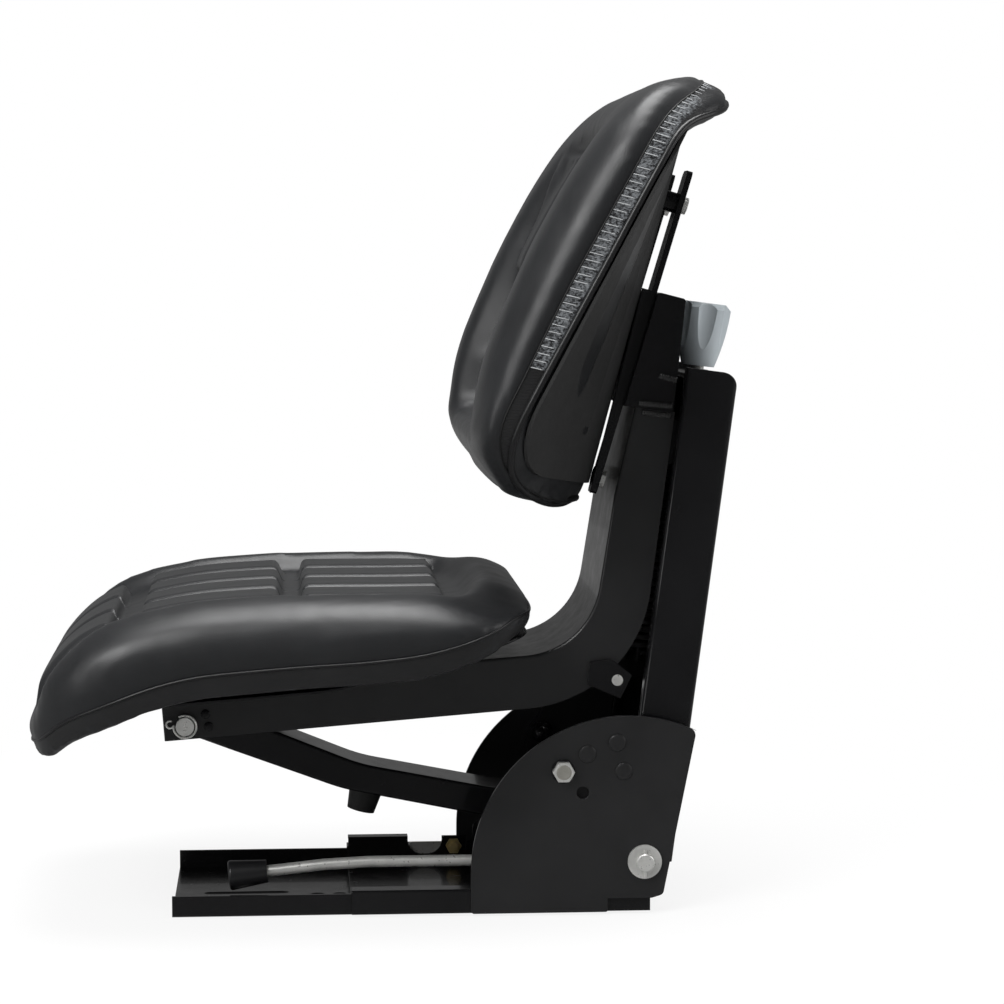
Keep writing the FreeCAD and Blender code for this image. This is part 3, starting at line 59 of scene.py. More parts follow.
def leaning(foot, lean):
    """Takes a point of a leaning frame into the part's frame."""
    return Matrix.Translation(foot) @ Matrix.Rotation(-lean, 4, "X")


COLUMN, BACK, SEAT = (leaning(*pair) for pair in (
    (COLUMN_FOOT, COLUMN_LEAN), (BACK_FOOT, BACK_LEAN), (SEAT_TOE, SEAT_LEAN)))


def curve(points):
    """A function through points (position, value), smooth between them."""
    xs, ys = (np.array(v, float) for v in zip(*points))
    slopes = np.gradient(ys, xs)
    # No overshoot: flat at a turning point, the harmonic mean of both sides elsewhere
    steps = np.diff(ys) / np.diff(xs)
    for i in range(1, len(xs) - 1):
        if steps[i - 1] * steps[i] <= 0:
            slopes[i] = 0
        else:
            slopes[i] = 2 / (1 / steps[i - 1] + 1 / steps[i])

    def at(x):
        x = np.clip(np.asarray(x, float), xs[0], xs[-1])
        i = np.clip(np.searchsorted(xs, x) - 1, 0, len(xs) - 2)
        width = xs[i + 1] - xs[i]
        t = (x - xs[i]) / width
        return ((1 + 2 * t) * (1 - t) ** 2 * ys[i] + t * (1 - t) ** 2 * width * slopes[i]
                + t * t * (3 - 2 * t) * ys[i + 1] + t * t * (t - 1) * width * slopes[i + 1])
    return at


def ease(x, low, high):
    """0 below low, 1 above high, smooth between."""
    t = np.clip((np.asarray(x, float) - low) / (high - low), 0, 1)
    return t * t * (3 - 2 * t)


def quarter_round(share):
    """Height of a quarter circle: 0 at its foot, 1 where it meets the top."""
    return np.sqrt(1 - (1 - share) ** 2)


# Objects
def new_object(name, verts, faces, material, where=None):
    """A smooth mesh from points in millimetres, taken into the part's frame by where."""
    mesh = bpy.data.meshes.new(name)
    mesh.from_pydata([tuple(float(c) * MM for c in v) for v in verts], [], faces)
    if where is not None:
        mesh.transform(where)
    mesh.update()
    mesh.polygons.foreach_set("use_smooth", [True] * len(mesh.polygons))
    piece = bpy.data.objects.new(name, mesh)
    bpy.context.scene.collection.objects.link(piece)
    mesh.materials.append(material)
    return piece


def skin(rings, closed_ends=True):
    """Faces that join closed rings of equal length, in order."""
    count = len(rings[0])
    verts = [v for ring in rings for v in ring]
    faces = []
    for r in range(len(rings) - 1):
        for i in range(count):
            j = (i + 1) % count
            faces.append((r * count + i, r * count + j, (r + 1) * count + j, (r + 1) * count + i))
    if closed_ends:
        faces.append(tuple(reversed(range(count))))
        last = (len(rings) - 1) * count
        faces.append(tuple(last + i for i in range(count)))
    return verts, faces


def add_modifier(piece, kind, **settings):
    modifier = piece.modifiers.new(kind.title(), kind)
    for name, value in settings.items():
        setattr(modifier, name, value)
    return modifier


def apply_modifiers(piece):
    bpy.context.view_layer.update()
    graph = bpy.context.evaluated_depsgraph_get()
    mesh = bpy.data.meshes.new_from_object(piece.evaluated_get(graph))
    piece.modifiers.clear()
    old, piece.data = piece.data, mesh
    bpy.data.meshes.remove(old)
    piece.data.polygons.foreach_set("use_smooth", [True] * len(piece.data.polygons))


def read_points(piece):
    points = np.empty(len(piece.data.vertices) * 3)
    piece.data.vertices.foreach_get("co", points)
    return points.reshape(-1, 3)


def write_points(piece, points):
    piece.data.vertices.foreach_set("co", np.ascontiguousarray(points, float).ravel())
    piece.data.update()


def fix_normals(piece):
    mesh = bmesh.new()
    mesh.from_mesh(piece.data)
    bmesh.ops.recalc_face_normals(mesh, faces=mesh.faces)
    mesh.to_mesh(piece.data)
    mesh.free()


# Filling of the pads
VOXEL = 5.5         # millimetres
PRESSURE = 4.0
CLOTH_FRAMES = 20
SMOOTH_PASSES = 7


def inflate(piece, cap):
    """Remeshes a closed pad, lets cloth pressure fill it, caps the travel at cap millimetres,
    smooths it and subdivides it once."""
    add_modifier(piece, "REMESH", mode="VOXEL", voxel_size=VOXEL * MM)
    apply_modifiers(piece)
    rest = read_points(piece)
    cloth = piece.modifiers.new("Cloth", "CLOTH")
    cloth.settings.use_pressure = True
    cloth.settings.uniform_pressure_force = PRESSURE
    cloth.settings.effector_weights.gravity = 0
    scene = bpy.context.scene
    for number in range(1, CLOTH_FRAMES + 1):
        scene.frame_set(number)
    apply_modifiers(piece)
    scene.frame_set(1)
    moved = read_points(piece) - rest
    length = np.linalg.norm(moved, axis=1, keepdims=True)
    write_points(piece, rest + moved * np.minimum(1, cap * MM / np.maximum(length, 1e-9)))
    add_modifier(piece, "SMOOTH", factor=0.5, iterations=SMOOTH_PASSES)
    add_modifier(piece, "SUBSURF", levels=1, render_levels=1)
    apply_modifiers(piece)


def circle(count):
    """Cosine and sine of evenly spaced angles."""
    return [(math.cos(a), math.sin(a)) for a in (2 * math.pi * k / count for k in range(count))]


def tube_along(name, points, radius, material, sides=12, closed=False, where=None):
    """A round bar along points in millimetres, its radius one number or one for each point."""
    points = [Vector(p) for p in points]
    rings = []
    count = len(points)
    side = None
    for i, p in enumerate(points):
        ahead = points[(i + 1) % count] if closed else points[min(i + 1, count - 1)]
        behind = points[i - 1] if closed else points[max(i - 1, 0)]
        along = (ahead - behind).normalized()
        if side is None:
            side = along.orthogonal()
        side = (side - along * side.dot(along)).normalized()
        up = along.cross(side)
        r = radius[i] if isinstance(radius, list) else radius
        rings.append([p + side * r * c + up * r * s for c, s in circle(sides)])
    if closed:
        rings.append(rings[0])
    verts, faces = skin(rings, not closed)
    return new_object(name, verts, faces, material, where)


# Materials
def node_tree(name):
    """A new material with its nodes, links and shader."""
    material = bpy.data.materials.new(name)
    material.use_nodes = True
    nodes, links = material.node_tree.nodes, material.node_tree.links
    return material, nodes, links, nodes["Principled BSDF"]


def add_node(nodes, kind, **values):
    """A node with its properties or inputs set by name, an underscore for a blank."""
    node = nodes.new(kind)
    for name, value in values.items():
        if hasattr(node, name):
            setattr(node, name, value)
        else:
            node.inputs[name.replace("_", " ")].default_value = value
    return node


def join_math(nodes, links, operation, first, second):
    """A Math node on two sources; a number is set on the node's own input."""
    node = add_node(nodes, "ShaderNodeMath", operation=operation)
    for socket, source in zip(node.inputs, (first, second)):
        if isinstance(source, float):
            socket.default_value = source
        else:
            links.new(source, socket)
    return node.outputs[0]


def map_range(nodes, links, source, low, high, at_low, at_high, **settings):
    """at_low where the source is low, at_high where it is high, and between them in between."""
    node = add_node(nodes, "ShaderNodeMapRange", **settings)
    links.new(source, node.inputs["Value"])
    for name, value in (("From Min", low), ("From Max", high), ("To Min", at_low),
                        ("To Max", at_high)):
        node.inputs[name].default_value = value
    return node.outputs["Result"]


def noise(nodes, links, scale, detail=4.0, roughness=0.55, stretch=None):
    """Noise in the object's own space, stretched along its axes if asked."""
    coordinates = nodes.new("ShaderNodeTexCoord")
    texture = add_node(nodes, "ShaderNodeTexNoise", Scale=scale, Detail=detail)
    texture.inputs["Roughness"].default_value = roughness
    if stretch:
        mapping = nodes.new("ShaderNodeMapping")
        mapping.inputs["Scale"].default_value = stretch
        links.new(coordinates.outputs["Object"], mapping.inputs["Vector"])
        links.new(mapping.outputs["Vector"], texture.inputs["Vector"])
    else:
        links.new(coordinates.outputs["Object"], texture.inputs["Vector"])
    return texture.outputs["Fac"]


def ramp(nodes, links, source, stops):
    """A colour ramp of (position, colour) stops on a source."""
    node = nodes.new("ShaderNodeValToRGB")
    while len(node.color_ramp.elements) < len(stops):
        node.color_ramp.elements.new(0.5)
    for element, (position, colour) in zip(node.color_ramp.elements, stops):
        element.position = position
        element.color = (*colour, 1)
    links.new(source, node.inputs["Fac"])
    return node.outputs["Color"]


def add_bump(nodes, links, shader, sources, worn_edge=0):
    """Chains bumps: each source is (height, strength, distance in millimetres)."""
    normal = None
    if worn_edge:
        bevel = add_node(nodes, "ShaderNodeBevel", samples=4, Radius=worn_edge * MM)
        normal = bevel.outputs["Normal"]
    for height, strength, distance in sources:
        bump = add_node(nodes, "ShaderNodeBump", Strength=strength, Distance=distance * MM)
        links.new(height, bump.inputs["Height"])
        if normal:
            links.new(normal, bump.inputs["Normal"])
        normal = bump.outputs["Normal"]
    links.new(normal, shader.inputs["Normal"])


def grey(value):
    return (value, value, value)


WORN_EDGE = 1.1   # radius of the light on an edge, in millimetres


def painted_steel(name, colour, roughness, coat, ripple=0.15):
    """Black paint: slight orange peel, faint dust in the gloss and softly worn edges."""
    material, nodes, links, shader = node_tree(name)
    patches = noise(nodes, links, 9, 3)
    links.new(ramp(nodes, links, patches, [
        (0.3, colour), (0.75, tuple(c * 1.35 + 0.002 for c in colour))]),
        shader.inputs["Base Color"])
    dust = noise(nodes, links, 60, 6, 0.7)
    links.new(ramp(nodes, links, dust, [
        (0.35, grey(roughness)), (0.75, grey(min(1, roughness + 0.12)))]),
        shader.inputs["Roughness"])
    shader.inputs["Specular IOR Level"].default_value = 0.35
    shader.inputs["Coat Weight"].default_value = coat
    shader.inputs["Coat Roughness"].default_value = 0.05
    add_bump(nodes, links, shader, [(noise(nodes, links, 180, 2), ripple, 0.2)], WORN_EDGE)
    return material


def plated_steel(name, colour, roughness=0.32):
    """Bright plating with fine turning marks and cloudy patches."""
    material, nodes, links, shader = node_tree(name)
    shader.inputs["Metallic"].default_value = 0.68
    clouds = noise(nodes, links, 45, 5, 0.6)
    links.new(ramp(nodes, links, clouds, [
        (0.3, tuple(c * 0.75 for c in colour)), (0.7, colour)]), shader.inputs["Base Color"])
    links.new(ramp(nodes, links, noise(nodes, links, 300, 3), [
        (0.3, grey(roughness)), (0.8, grey(roughness + 0.2))]), shader.inputs["Roughness"])
    add_bump(nodes, links, shader, [(noise(nodes, links, 500, 2), 0.2, 0.1)])
    return material


def plastic(name, colour, roughness, grain=0.15):
    """Moulded plastic or rubber with a fine grain."""
    material, nodes, links, shader = node_tree(name)
    links.new(ramp(nodes, links, noise(nodes, links, 25, 3), [
        (0.3, tuple(c * 0.85 for c in colour)), (0.75, colour)]), shader.inputs["Base Color"])
    links.new(ramp(nodes, links, noise(nodes, links, 90, 4), [
        (0.3, grey(roughness)), (0.8, grey(roughness + 0.1))]), shader.inputs["Roughness"])
    add_bump(nodes, links, shader, [(noise(nodes, links, 900, 3), grain, 0.15)])
    return material


def vinyl(name, colour, roughness, ribbed=False):
    """Black moulded vinyl: pebble grain, soft creases and a satin sheen."""
    material, nodes, links, shader = node_tree(name)
    cells = add_node(nodes, "ShaderNodeTexVoronoi", feature="DISTANCE_TO_EDGE", Scale=700.0)
    coordinates = nodes.new("ShaderNodeTexCoord")
    links.new(coordinates.outputs["Object"], cells.inputs["Vector"])
    links.new(ramp(nodes, links, noise(nodes, links, 14, 4), [
        (0.3, colour), (0.75, tuple(c * 1.3 for c in colour))]), shader.inputs["Base Color"])
    links.new(ramp(nodes, links, noise(nodes, links, 40, 5), [
        (0.3, grey(roughness)), (0.75, grey(roughness + 0.1))]), shader.inputs["Roughness"])
    shader.inputs["Sheen Weight"].default_value = 0.02
    shader.inputs["Sheen Roughness"].default_value = 0.4
    streaks = noise(nodes, links, 120, 5, 0.6, (3, 3, 0.25))
    if ribbed:
        waves = add_node(nodes, "ShaderNodeTexWave", wave_type="BANDS", bands_direction="Z",
                         Scale=130.0, Distortion=1.5, Detail=2.0)
        links.new(coordinates.outputs["Object"], waves.inputs["Vector"])
        streaks = waves.outputs["Fac"]
    add_bump(nodes, links, shader, [
        (streaks, 0.3 if ribbed else 0.12, 0.6), (cells.outputs["Distance"], 0.35, 0.25),
        (noise(nodes, links, 1500, 3), 0.15, 0.1)])
    return material


def crackle_vinyl(name, dark, light):
    """The band's print: pale broken grain lines on black."""
    material, nodes, links, shader = node_tree(name)
    grain = noise(nodes, links, 480, 6, 0.75, (1, 0.7, 1.5))
    patches = noise(nodes, links, 35, 3)
    mixed = add_node(nodes, "ShaderNodeMath", operation="MULTIPLY_ADD")
    mixed.inputs[1].default_value = 0.2
    links.new(patches, mixed.inputs[0])
    links.new(grain, mixed.inputs[2])
    links.new(ramp(nodes, links, mixed.outputs[0], [(0.54, dark), (0.68, light)]),
              shader.inputs["Base Color"])
    shader.inputs["Roughness"].default_value = 0.45
    add_bump(nodes, links, shader, [(grain, 0.5, 0.4)])
    return material


BLACK = (0.004, 0.004, 0.0045)
gloss_black = painted_steel("gloss_black", BLACK, 0.18, 0.25)
plate_black = painted_steel("plate_black", (0.012, 0.012, 0.0125), 0.3, 0.15)
satin_black = painted_steel("satin_black", (0.007, 0.007, 0.0075), 0.42, 0.1)
zinc = plated_steel("zinc", (0.88, 0.88, 0.85), 0.26)
forged_zinc = plated_steel("forged_zinc", (0.42, 0.41, 0.37), 0.5)
yellow_zinc = plated_steel("yellow_zinc", (0.80, 0.64, 0.30))
weld_black = painted_steel("weld_black", (0.02, 0.02, 0.02), 0.12, 1.0, 0.8)
spring_steel = painted_steel("spring_black", (0.02, 0.02, 0.021), 0.25, 0.6)
nylon = plastic("nylon_black", (0.02, 0.02, 0.022), 0.45)
grip_plastic = plastic("grip_black", (0.012, 0.012, 0.013), 0.3)
knob_plastic = plastic("knob_grey", (0.48, 0.53, 0.56), 0.38)
bump_rubber = plastic("rubber_black", (0.012, 0.012, 0.012), 0.6, 0.3)
panel_plastic = plastic("panel_black", (0.020, 0.020, 0.020), 0.6, 0.3)
seat_vinyl = vinyl("seat_vinyl", (0.010, 0.0105, 0.0115), 0.36)
base_vinyl = vinyl("base_vinyl", (0.009, 0.009, 0.0095), 0.42)
seam_vinyl = plastic("seam_vinyl", (0.004, 0.004, 0.004), 0.6)
piping_vinyl = plastic("piping_vinyl", (0.010, 0.010, 0.0105), 0.3)
band_vinyl = crackle_vinyl("band_vinyl", (0.008, 0.008, 0.009), (0.17, 0.18, 0.19))
# Painted shade: a darker copy of the band's print, for the row behind the print where the band
# turns away from the light
band_painted_shade = crackle_vinyl("band_painted_shade", (0.006, 0.006, 0.007), (0.07, 0.075, 0.08))
ribbed_vinyl = vinyl("ribbed_vinyl", (0.010, 0.010, 0.0105), 0.42, ribbed=True)
thread = plastic("thread_grey", (0.42, 0.43, 0.44), 0.6)

BY_SLOT = {
    "gloss_black_steel": gloss_black, "satin_black_steel": satin_black, "zinc_steel": zinc,
    "yellow_zinc": yellow_zinc, "spring_steel": spring_steel, "nylon": nylon,
    "grip_plastic": grip_plastic, "knob_plastic": knob_plastic, "bump_rubber": bump_rubber,
    "panel_plastic": panel_plastic, "seat_vinyl": seat_vinyl,
}


# Nodes whose finish isn't that of their slot
BY_NODE = {
    "fan_plate_left": plate_black, "fan_plate_right": plate_black, "seat_frame": plate_black,
    "tilt_bolt_washers": gloss_black, "tilt_nuts": gloss_black,
}


def dress_nodes():
    """Each CAD node takes its own procedural material, or that of its slot."""
    for name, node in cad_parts.items():
        for slot in node.material_slots:
            key = slot.material.name.split(".")[0] if slot.material else ""
            slot.material = BY_NODE.get(name) or BY_SLOT.get(key, satin_black)


def soften(points, axis):
    """One pass of smoothing along a closed row of points."""
    return (np.roll(points, 1, axis) + 2 * points + np.roll(points, -1, axis)) / 4


# Plan outline of a pad: a box with rounded corners
OUTLINE_POINTS = 240
CORNER_STEPS = 24


def plan_outline(half, front, back, front_radius, back_radius, narrow=0.0):
    """Evenly spaced points and outward normals, from the rear end of the +x side onwards."""
    path = []

    def corner(cx, cy, radius, start):
        for k in range(CORNER_STEPS + 1):
            a = math.radians(start + 90 * k / CORNER_STEPS)
            path.append((cx + radius * math.cos(a), cy + radius * math.sin(a)))

    corner(half - back_radius, back - back_radius, back_radius, 0)
    corner(-half + back_radius, back - back_radius, back_radius, 90)
    corner(-half + narrow + front_radius, front + front_radius, front_radius, 180)
    corner(half - narrow - front_radius, front + front_radius, front_radius, 270)
    path = np.array(path + path[:1])
    lengths = np.concatenate([[0], np.cumsum(np.linalg.norm(np.diff(path, axis=0), axis=1))])
    at = np.linspace(0, lengths[-1], OUTLINE_POINTS, endpoint=False)
    points = np.stack([np.interp(at, lengths, path[:, i]) for i in (0, 1)], axis=1)
    for _ in range(3):
        points = soften(points, 0)
    along = np.roll(points, -1, 0) - np.roll(points, 1, 0)
    along /= np.linalg.norm(along, axis=1, keepdims=True)
    return points, np.stack([along[:, 1], -along[:, 0]], axis=1)


# Seat cushion, in the seat frame: s rearward, t up, from the frame's top toe corner
SEAT_TOP = curve([(-116, -16), (-114, -3), (-109, 11), (-101, 26), (-91, 39), (-78, 52),
                  (-58, 65), (-30, 74.5), (4, 81), (50, 84.5), (100, 83.5), (150, 80.5),
                  (205, 76), (255, 72.5), (285, 71), (302, 69), (313, 65.5), (321, 61.5),
                  (328, 57), (333, 52)])
SEAT_FLOOR = curve([(-116, -38), (-99, -30), (-70, -20), (-44, -12), (-12, 3), (60, 4),
                    (148, 6), (230, 16), (321, 31), (334, 33)])
SEAT_FOOT = curve([(-116, -45), (-104, -42), (-90, -32), (-75, -25), (-40, -14.5), (4, -2),
                   (47, 3.5), (119, 4), (176, 3), (220, 4), (263, 10.6), (293, 18), (320, 31),
                   (334, 33)])
SEAT_HALF, SEAT_FRONT, SEAT_BACK = 231, -116, 333
SEAT_FRONT_RADIUS, SEAT_BACK_RADIUS, SEAT_NARROWING = 92, 80, 5
SEAT_MIDDLE = (0, 110)
BAND_HEIGHT = 22
ROLL_WIDTH = 54
CORNER_DROP = 13
WELL_DEPTH = 18
PAD_MARGIN = 3      # the covers start this much inside the cushions' outline


def band_height(s):
    """Height of the seat's band, lower at the nose and at the rear."""
    return BAND_HEIGHT - 4 * ease(-s, 60, 112) - 5 * ease(s, 300, 330)


def well(x, s):
    """How deep the sunk middle is at a point of the plan: 0 on the roll, 1 in the well."""
    half = 176 - 12 * ease(s, 180, 290) + 6 * ease(-s, 0, 80)
    side = ease(half - np.abs(x), 0, 16)
    back_line = 291 - 26 * (np.abs(x) / 170) ** 3
    return side * ease(back_line - s, 0, 20)


def seat_height(x, s, edge, sideways):
    """Top of the roll at a plan point, edge millimetres inside the outline."""
    top, foot = SEAT_TOP(s), SEAT_FOOT(s) + band_height(s)
    roll = np.clip(edge / ROLL_WIDTH, 0, 1)
    drop = (1 - quarter_round(roll)) * 0.7 * np.maximum(top - foot, 0)
    corner = CORNER_DROP * ease(np.abs(x), 100, 195) * ease(s, 215, 315)
    return top - corner - drop * sideways - WELL_DEPTH * well(x, s)


MIDDLE_SHARES = (0.85, 0.7, 0.55, 0.4, 0.25, 0.1)
FLAT_INSET = 90     # beyond both pads' rolls


def inward(outline, normals, insets, middle):
    """Plan points and inset of each ring: along the normals first, then towards the middle."""
    for inset in insets:
        yield outline - normals * inset, inset
    inner = outline - normals * insets[-1]
    for share in MIDDLE_SHARES:
        yield np.array(middle) + (inner - middle) * share, FLAT_INSET


def make_seat_cushion():
    """The seat's cover and the rings of its band."""
    outline, normals = plan_outline(
        SEAT_HALF - PAD_MARGIN, SEAT_FRONT + PAD_MARGIN, SEAT_BACK - PAD_MARGIN,
        SEAT_FRONT_RADIUS, SEAT_BACK_RADIUS, SEAT_NARROWING)
    sideways = np.abs(normals[:, 0]) ** 1.5
    s_line = outline[:, 1]
    foot = SEAT_FOOT(s_line) + 1.0
    band = foot + band_height(s_line)
    edge_top = seat_height(outline[:, 0], s_line, 0, sideways)

    def ring(inset, height):
        points = outline - normals * inset
        return [(p[0], p[1], h) for p, h in zip(points, height)]

    def wall(share):
        return band + (edge_top - band) * share

    rings = [ring(60, SEAT_FLOOR(s_line - normals[:, 1] * 60) + 1),
             ring(30, SEAT_FLOOR(s_line - normals[:, 1] * 30) + 1),
             ring(20, foot + 1), ring(12, foot), ring(7.5, foot),
             ring(6.5, foot + 1.5), ring(6, foot + 5), ring(5, (foot + band) / 2),
             ring(4.2, band - 1), ring(2.6, band + 2), ring(0.9, wall(0.3)), ring(0, wall(0.6)),
             ring(0.2, wall(0.85))]
    insets = (1.2, 3.5, 7, 12, 18, 25, 32, 39, 45, 50, 54, 58, 62, 66, 70, 75, 80)
    for points, inset in inward(outline, normals, insets, SEAT_MIDDLE):
        height = seat_height(points[:, 0], points[:, 1], inset, sideways)
        rings.append([(p[0], p[1], h) for p, h in zip(points, height)])
    verts, faces = skin(rings)
    cushion = new_object("seat_cushion_cover", verts, faces, seat_vinyl)
    fix_normals(cushion)
    inflate(cushion, cap=1.5)
    finish_seat(cushion)
    edges = [ring(inset, height) for inset, height in (
        (6.6, foot + 1), (6, foot + 5), (5.4, foot + (band - foot) * 0.5), (4.6, band - 3),
        (4.2, band - 0.6))]
    return cushion, edges


# Padded bars in the wells: groups (start, end, pitch across, number of bars)
SEAT_BARS = ((-104, -30, 106, 3), (-13, 115, 80, 4), (127, 256, 80, 4))
BACK_BARS = ((56, 150, 68, 4), (168, 300, 68, 4))


def bar_height(x, along, groups, high, channel, rounding, end_ease):
    """Height of a group's bars over the floor of the well, channel the half gap between two."""
    height = np.zeros_like(x)
    for start, end, pitch, bars in groups:
        lane = (x + pitch * bars / 2) / pitch
        inside = (lane > 0) & (lane < bars)
        across = np.abs((lane - np.floor(lane)) - 0.5) * 2
        reach = pitch / 2 * (1 - across) - channel
        length = np.minimum(along - start, end - along)
        rounded = np.clip(np.minimum(reach, np.maximum(length, 0)) / rounding, 0, 1)
        rise = quarter_round(rounded) * ease(length, 0, end_ease)
        height = np.where(inside, np.maximum(height, high * rise), height)
    return height


def finish_seat(cushion):
    """The padded bars, after the remesh, and the way into the part's frame."""
    x, s, t = (read_points(cushion) / MM).T
    up = ease(t - (SEAT_FOOT(s) + SEAT_TOP(s)) / 2, 0, 8)
    bars = bar_height(x, s, SEAT_BARS, high=14, channel=4, rounding=12, end_ease=6)
    t = t + up * well(x, s) * bars * ease(-np.abs(x), -164, -156)
    write_points(cushion, np.stack([x, s, t], axis=1) * MM)
    cushion.data.transform(SEAT)
    cushion.data.update()


# Backrest cushion, in the back frame: d rearward, w up the back
WING_CREST = curve([(-16, -60), (-10, -84), (-1, -99), (15, -115), (34, -122.5), (81, -123),
                    (161, -113.5), (233, -98), (293, -79), (332, -60), (341, -53), (353, -42),
                    (361, -28), (367, -15), (373, -2)])
BAND_FRONT = curve([(-17, -86), (9, -93), (30, -99), (42, -101), (84, -93), (136, -82),
                    (177, -73), (222, -61), (275, -47), (318, -35), (336, -28), (350, -18),
                    (362, -6), (373, 3)])
BACK_HALF, BACK_LOW, BACK_HIGH = 235, -17, 373
BACK_LOW_RADIUS, BACK_HIGH_RADIUS = 72, 84
BACK_MIDDLE = (0, 170)
WING_ROLL = 44
LIP = 27            # how far the head's lip stands back over the panel
LIP_ROUND = 11
PANEL_FLAT = 85     # half width of the panel's flat middle
PANEL_BEND = 147    # radius of its bend to the wings


def panel_front(x, w):
    """Front face of the panel: flat in the middle, swept forward outside it."""
    slope = 0.6383 - 0.5745 * (w - 8) / 330
    angle = np.arctan(slope)
    across = np.abs(x) - PANEL_FLAT
    turn = np.clip(across + PANEL_BEND * np.tan(angle / 2), 0, None)
    bend_end = PANEL_BEND * np.sin(angle)
    arc = PANEL_BEND - np.sqrt(PANEL_BEND ** 2 - np.minimum(turn, bend_end) ** 2)
    return -np.where(turn < bend_end, arc, across * slope)


def band_front(x, w):
    """Front edge of the backrest's band round the outline."""
    middle = np.where(w > 100, -2, -13)
    return middle + (BAND_FRONT(w) - middle) * ease(np.abs(x), 110, 228)


def back_rear(x, w, lip, inset):
    """Rear surface: it lies on the panel, with a lip over the panel's head."""
    return panel_front(x, w) - 0.5 + LIP * lip * (1 - ease(inset, 20, 31))


def well_depth(w):
    """Depth of the backrest's well: deep behind the lower back, shallow above."""
    return 44 - 17 * ease(w, 130, 190)


def back_well(x, w):
    """How much of the well there is at a point: 0 on the wings, 1 in the well."""
    half = 160 - 22 * ease(w, 200, 330)
    top_line = 322 - 40 * (np.abs(x) / 160) ** 3
    return ease(half - np.abs(x), 0, 26) * ease(top_line - w, 0, 30) * ease(w, 22, 52)


def back_front(x, w, inset, sideways):
    """Front surface of the backrest: the wings' crest, the roll to the band and the well."""
    crest = WING_CREST(w)
    roll = np.clip(inset / WING_ROLL, 0, 1)
    drop = (1 - quarter_round(roll)) * 0.85 * (band_front(x, w) - crest)
    middle = 16 * ease(-np.abs(x), -170, -60) * ease(-w, -345, -260)
    return crest + drop * sideways + np.maximum(
        well_depth(w) * back_well(x, w), middle * ease(w, 10, 60))


def make_back_cushion():
    """The backrest's cover, the rings of its band and its outline."""
    outline, normals = plan_outline(BACK_HALF - PAD_MARGIN, BACK_LOW + PAD_MARGIN,
                                    BACK_HIGH - PAD_MARGIN, BACK_LOW_RADIUS, BACK_HIGH_RADIUS)
    x, w = outline.T
    front = band_front(x, w)
    sideways = np.abs(normals[:, 0]) ** 1.5
    edge = back_front(x, w, 0, sideways)
    lip = ease(normals[:, 1], 0.45, 0.9)

    def ring(inset, depth):
        points = outline - normals * np.reshape(inset, (-1, 1))
        return [(p[0], d, p[1]) for p, d in zip(points, depth)]

    def rear_ring(inset):
        px, pw = (outline - normals * inset).T
        return ring(inset, back_rear(px, pw, lip, inset))

    rear = back_rear(x, w, lip, 0)
    width = rear - front
    rings = [rear_ring(inset) for inset in (82, 60, 42, 34, 31, 28, 25, 22, 19, 16.5)]
    for turn in (0, 0.5, 1, 1.5):
        rings.append(ring(4.4 + LIP_ROUND * lip * (1 - math.sin(turn)),
                          rear - 0.5 * turn - LIP_ROUND * lip * (1 - math.cos(turn))))
    rings += [ring(4, front + width * 0.5), ring(4, front + width * 0.25), ring(4, front + 1),
              ring(2.2, front - 2), ring(0.8, front + (edge - front) * 0.3),
              ring(0, front + (edge - front) * 0.6), ring(0.4, front + (edge - front) * 0.85)]
    insets = (1.4, 3.5, 7, 12, 18, 25, 32, 39, 46, 53, 60, 66, 72, 78, 84, 90, 96)
    for points, inset in inward(outline, normals, insets, BACK_MIDDLE):
        depth = back_front(points[:, 0], points[:, 1], inset, sideways)
        rings.append([(p[0], d, p[1]) for p, d in zip(points, depth)])
    verts, faces = skin(rings)
    cushion = new_object("backrest_cushion_cover", verts, faces, seat_vinyl)
    fix_normals(cushion)
    inflate(cushion, cap=2)
    x, d, w = (read_points(cushion) / MM).T
    bars = bar_height(x, w, BACK_BARS, high=11, channel=2.5, rounding=13, end_ease=12)
    d = d - ease(-d, 30, 50) * back_well(x, w) * bars
    write_points(cushion, np.stack([x, d, w], axis=1) * MM)
    cushion.data.transform(BACK)
    cushion.data.update()
    edges = [ring(4 - 1.6 * share * (1 - share) + LIP_ROUND * lip * ease(share, 0.6, 1),
                  front + 0.5 + (width - 1.5) * share) for share in np.linspace(0, 1, 10)]
    return cushion, edges, outline


# Bands round the pads: strips laid on the covers, with stitches, seams and piping
STRIP_LIFT = 0.9


def lay_strip(name, rings, cover, material, where):
    """A closed strip of rings laid on a cover; gives the piece and its grid of points."""
    verts, faces = skin(rings, closed_ends=False)
    strip = new_object(name, verts, faces, material, where)
    add_modifier(strip, "SHRINKWRAP", target=cover, wrap_method="NEAREST_SURFACEPOINT",
                 wrap_mode="ABOVE_SURFACE", offset=STRIP_LIFT * MM)
    apply_modifiers(strip)
    fix_normals(strip)
    grid = read_points(strip).reshape(len(rings), len(rings[0]), 3) / MM
    for _ in range(6):
        grid = soften(grid, 1)
    write_points(strip, grid.reshape(-1, 3) * MM)
    return strip, grid


def carried(piece):
    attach(piece, "seat_carrier")


# The backrest band: where the print ends towards the head, and where its stitches are
PRINT_LOW = 96
HEAD_START, HEAD_HALF = 300, 170
STITCH_SIDE, STITCH_LOW, STITCH_PITCH = 165, 95, 5.6
STITCH_RADIUS, STITCH_LIFT = 0.42, 0.25
# Material slots of the band: the print, its darker copy as painted shade, and the ribbed vinyl
PRINTED, PAINTED_SHADE, RIBBED = range(3)


def printed_rows(w):
    """Rows of the band that carry the print: fewer towards the head."""
    return round(6 - 4 * float(ease(w, HEAD_START, 362)))


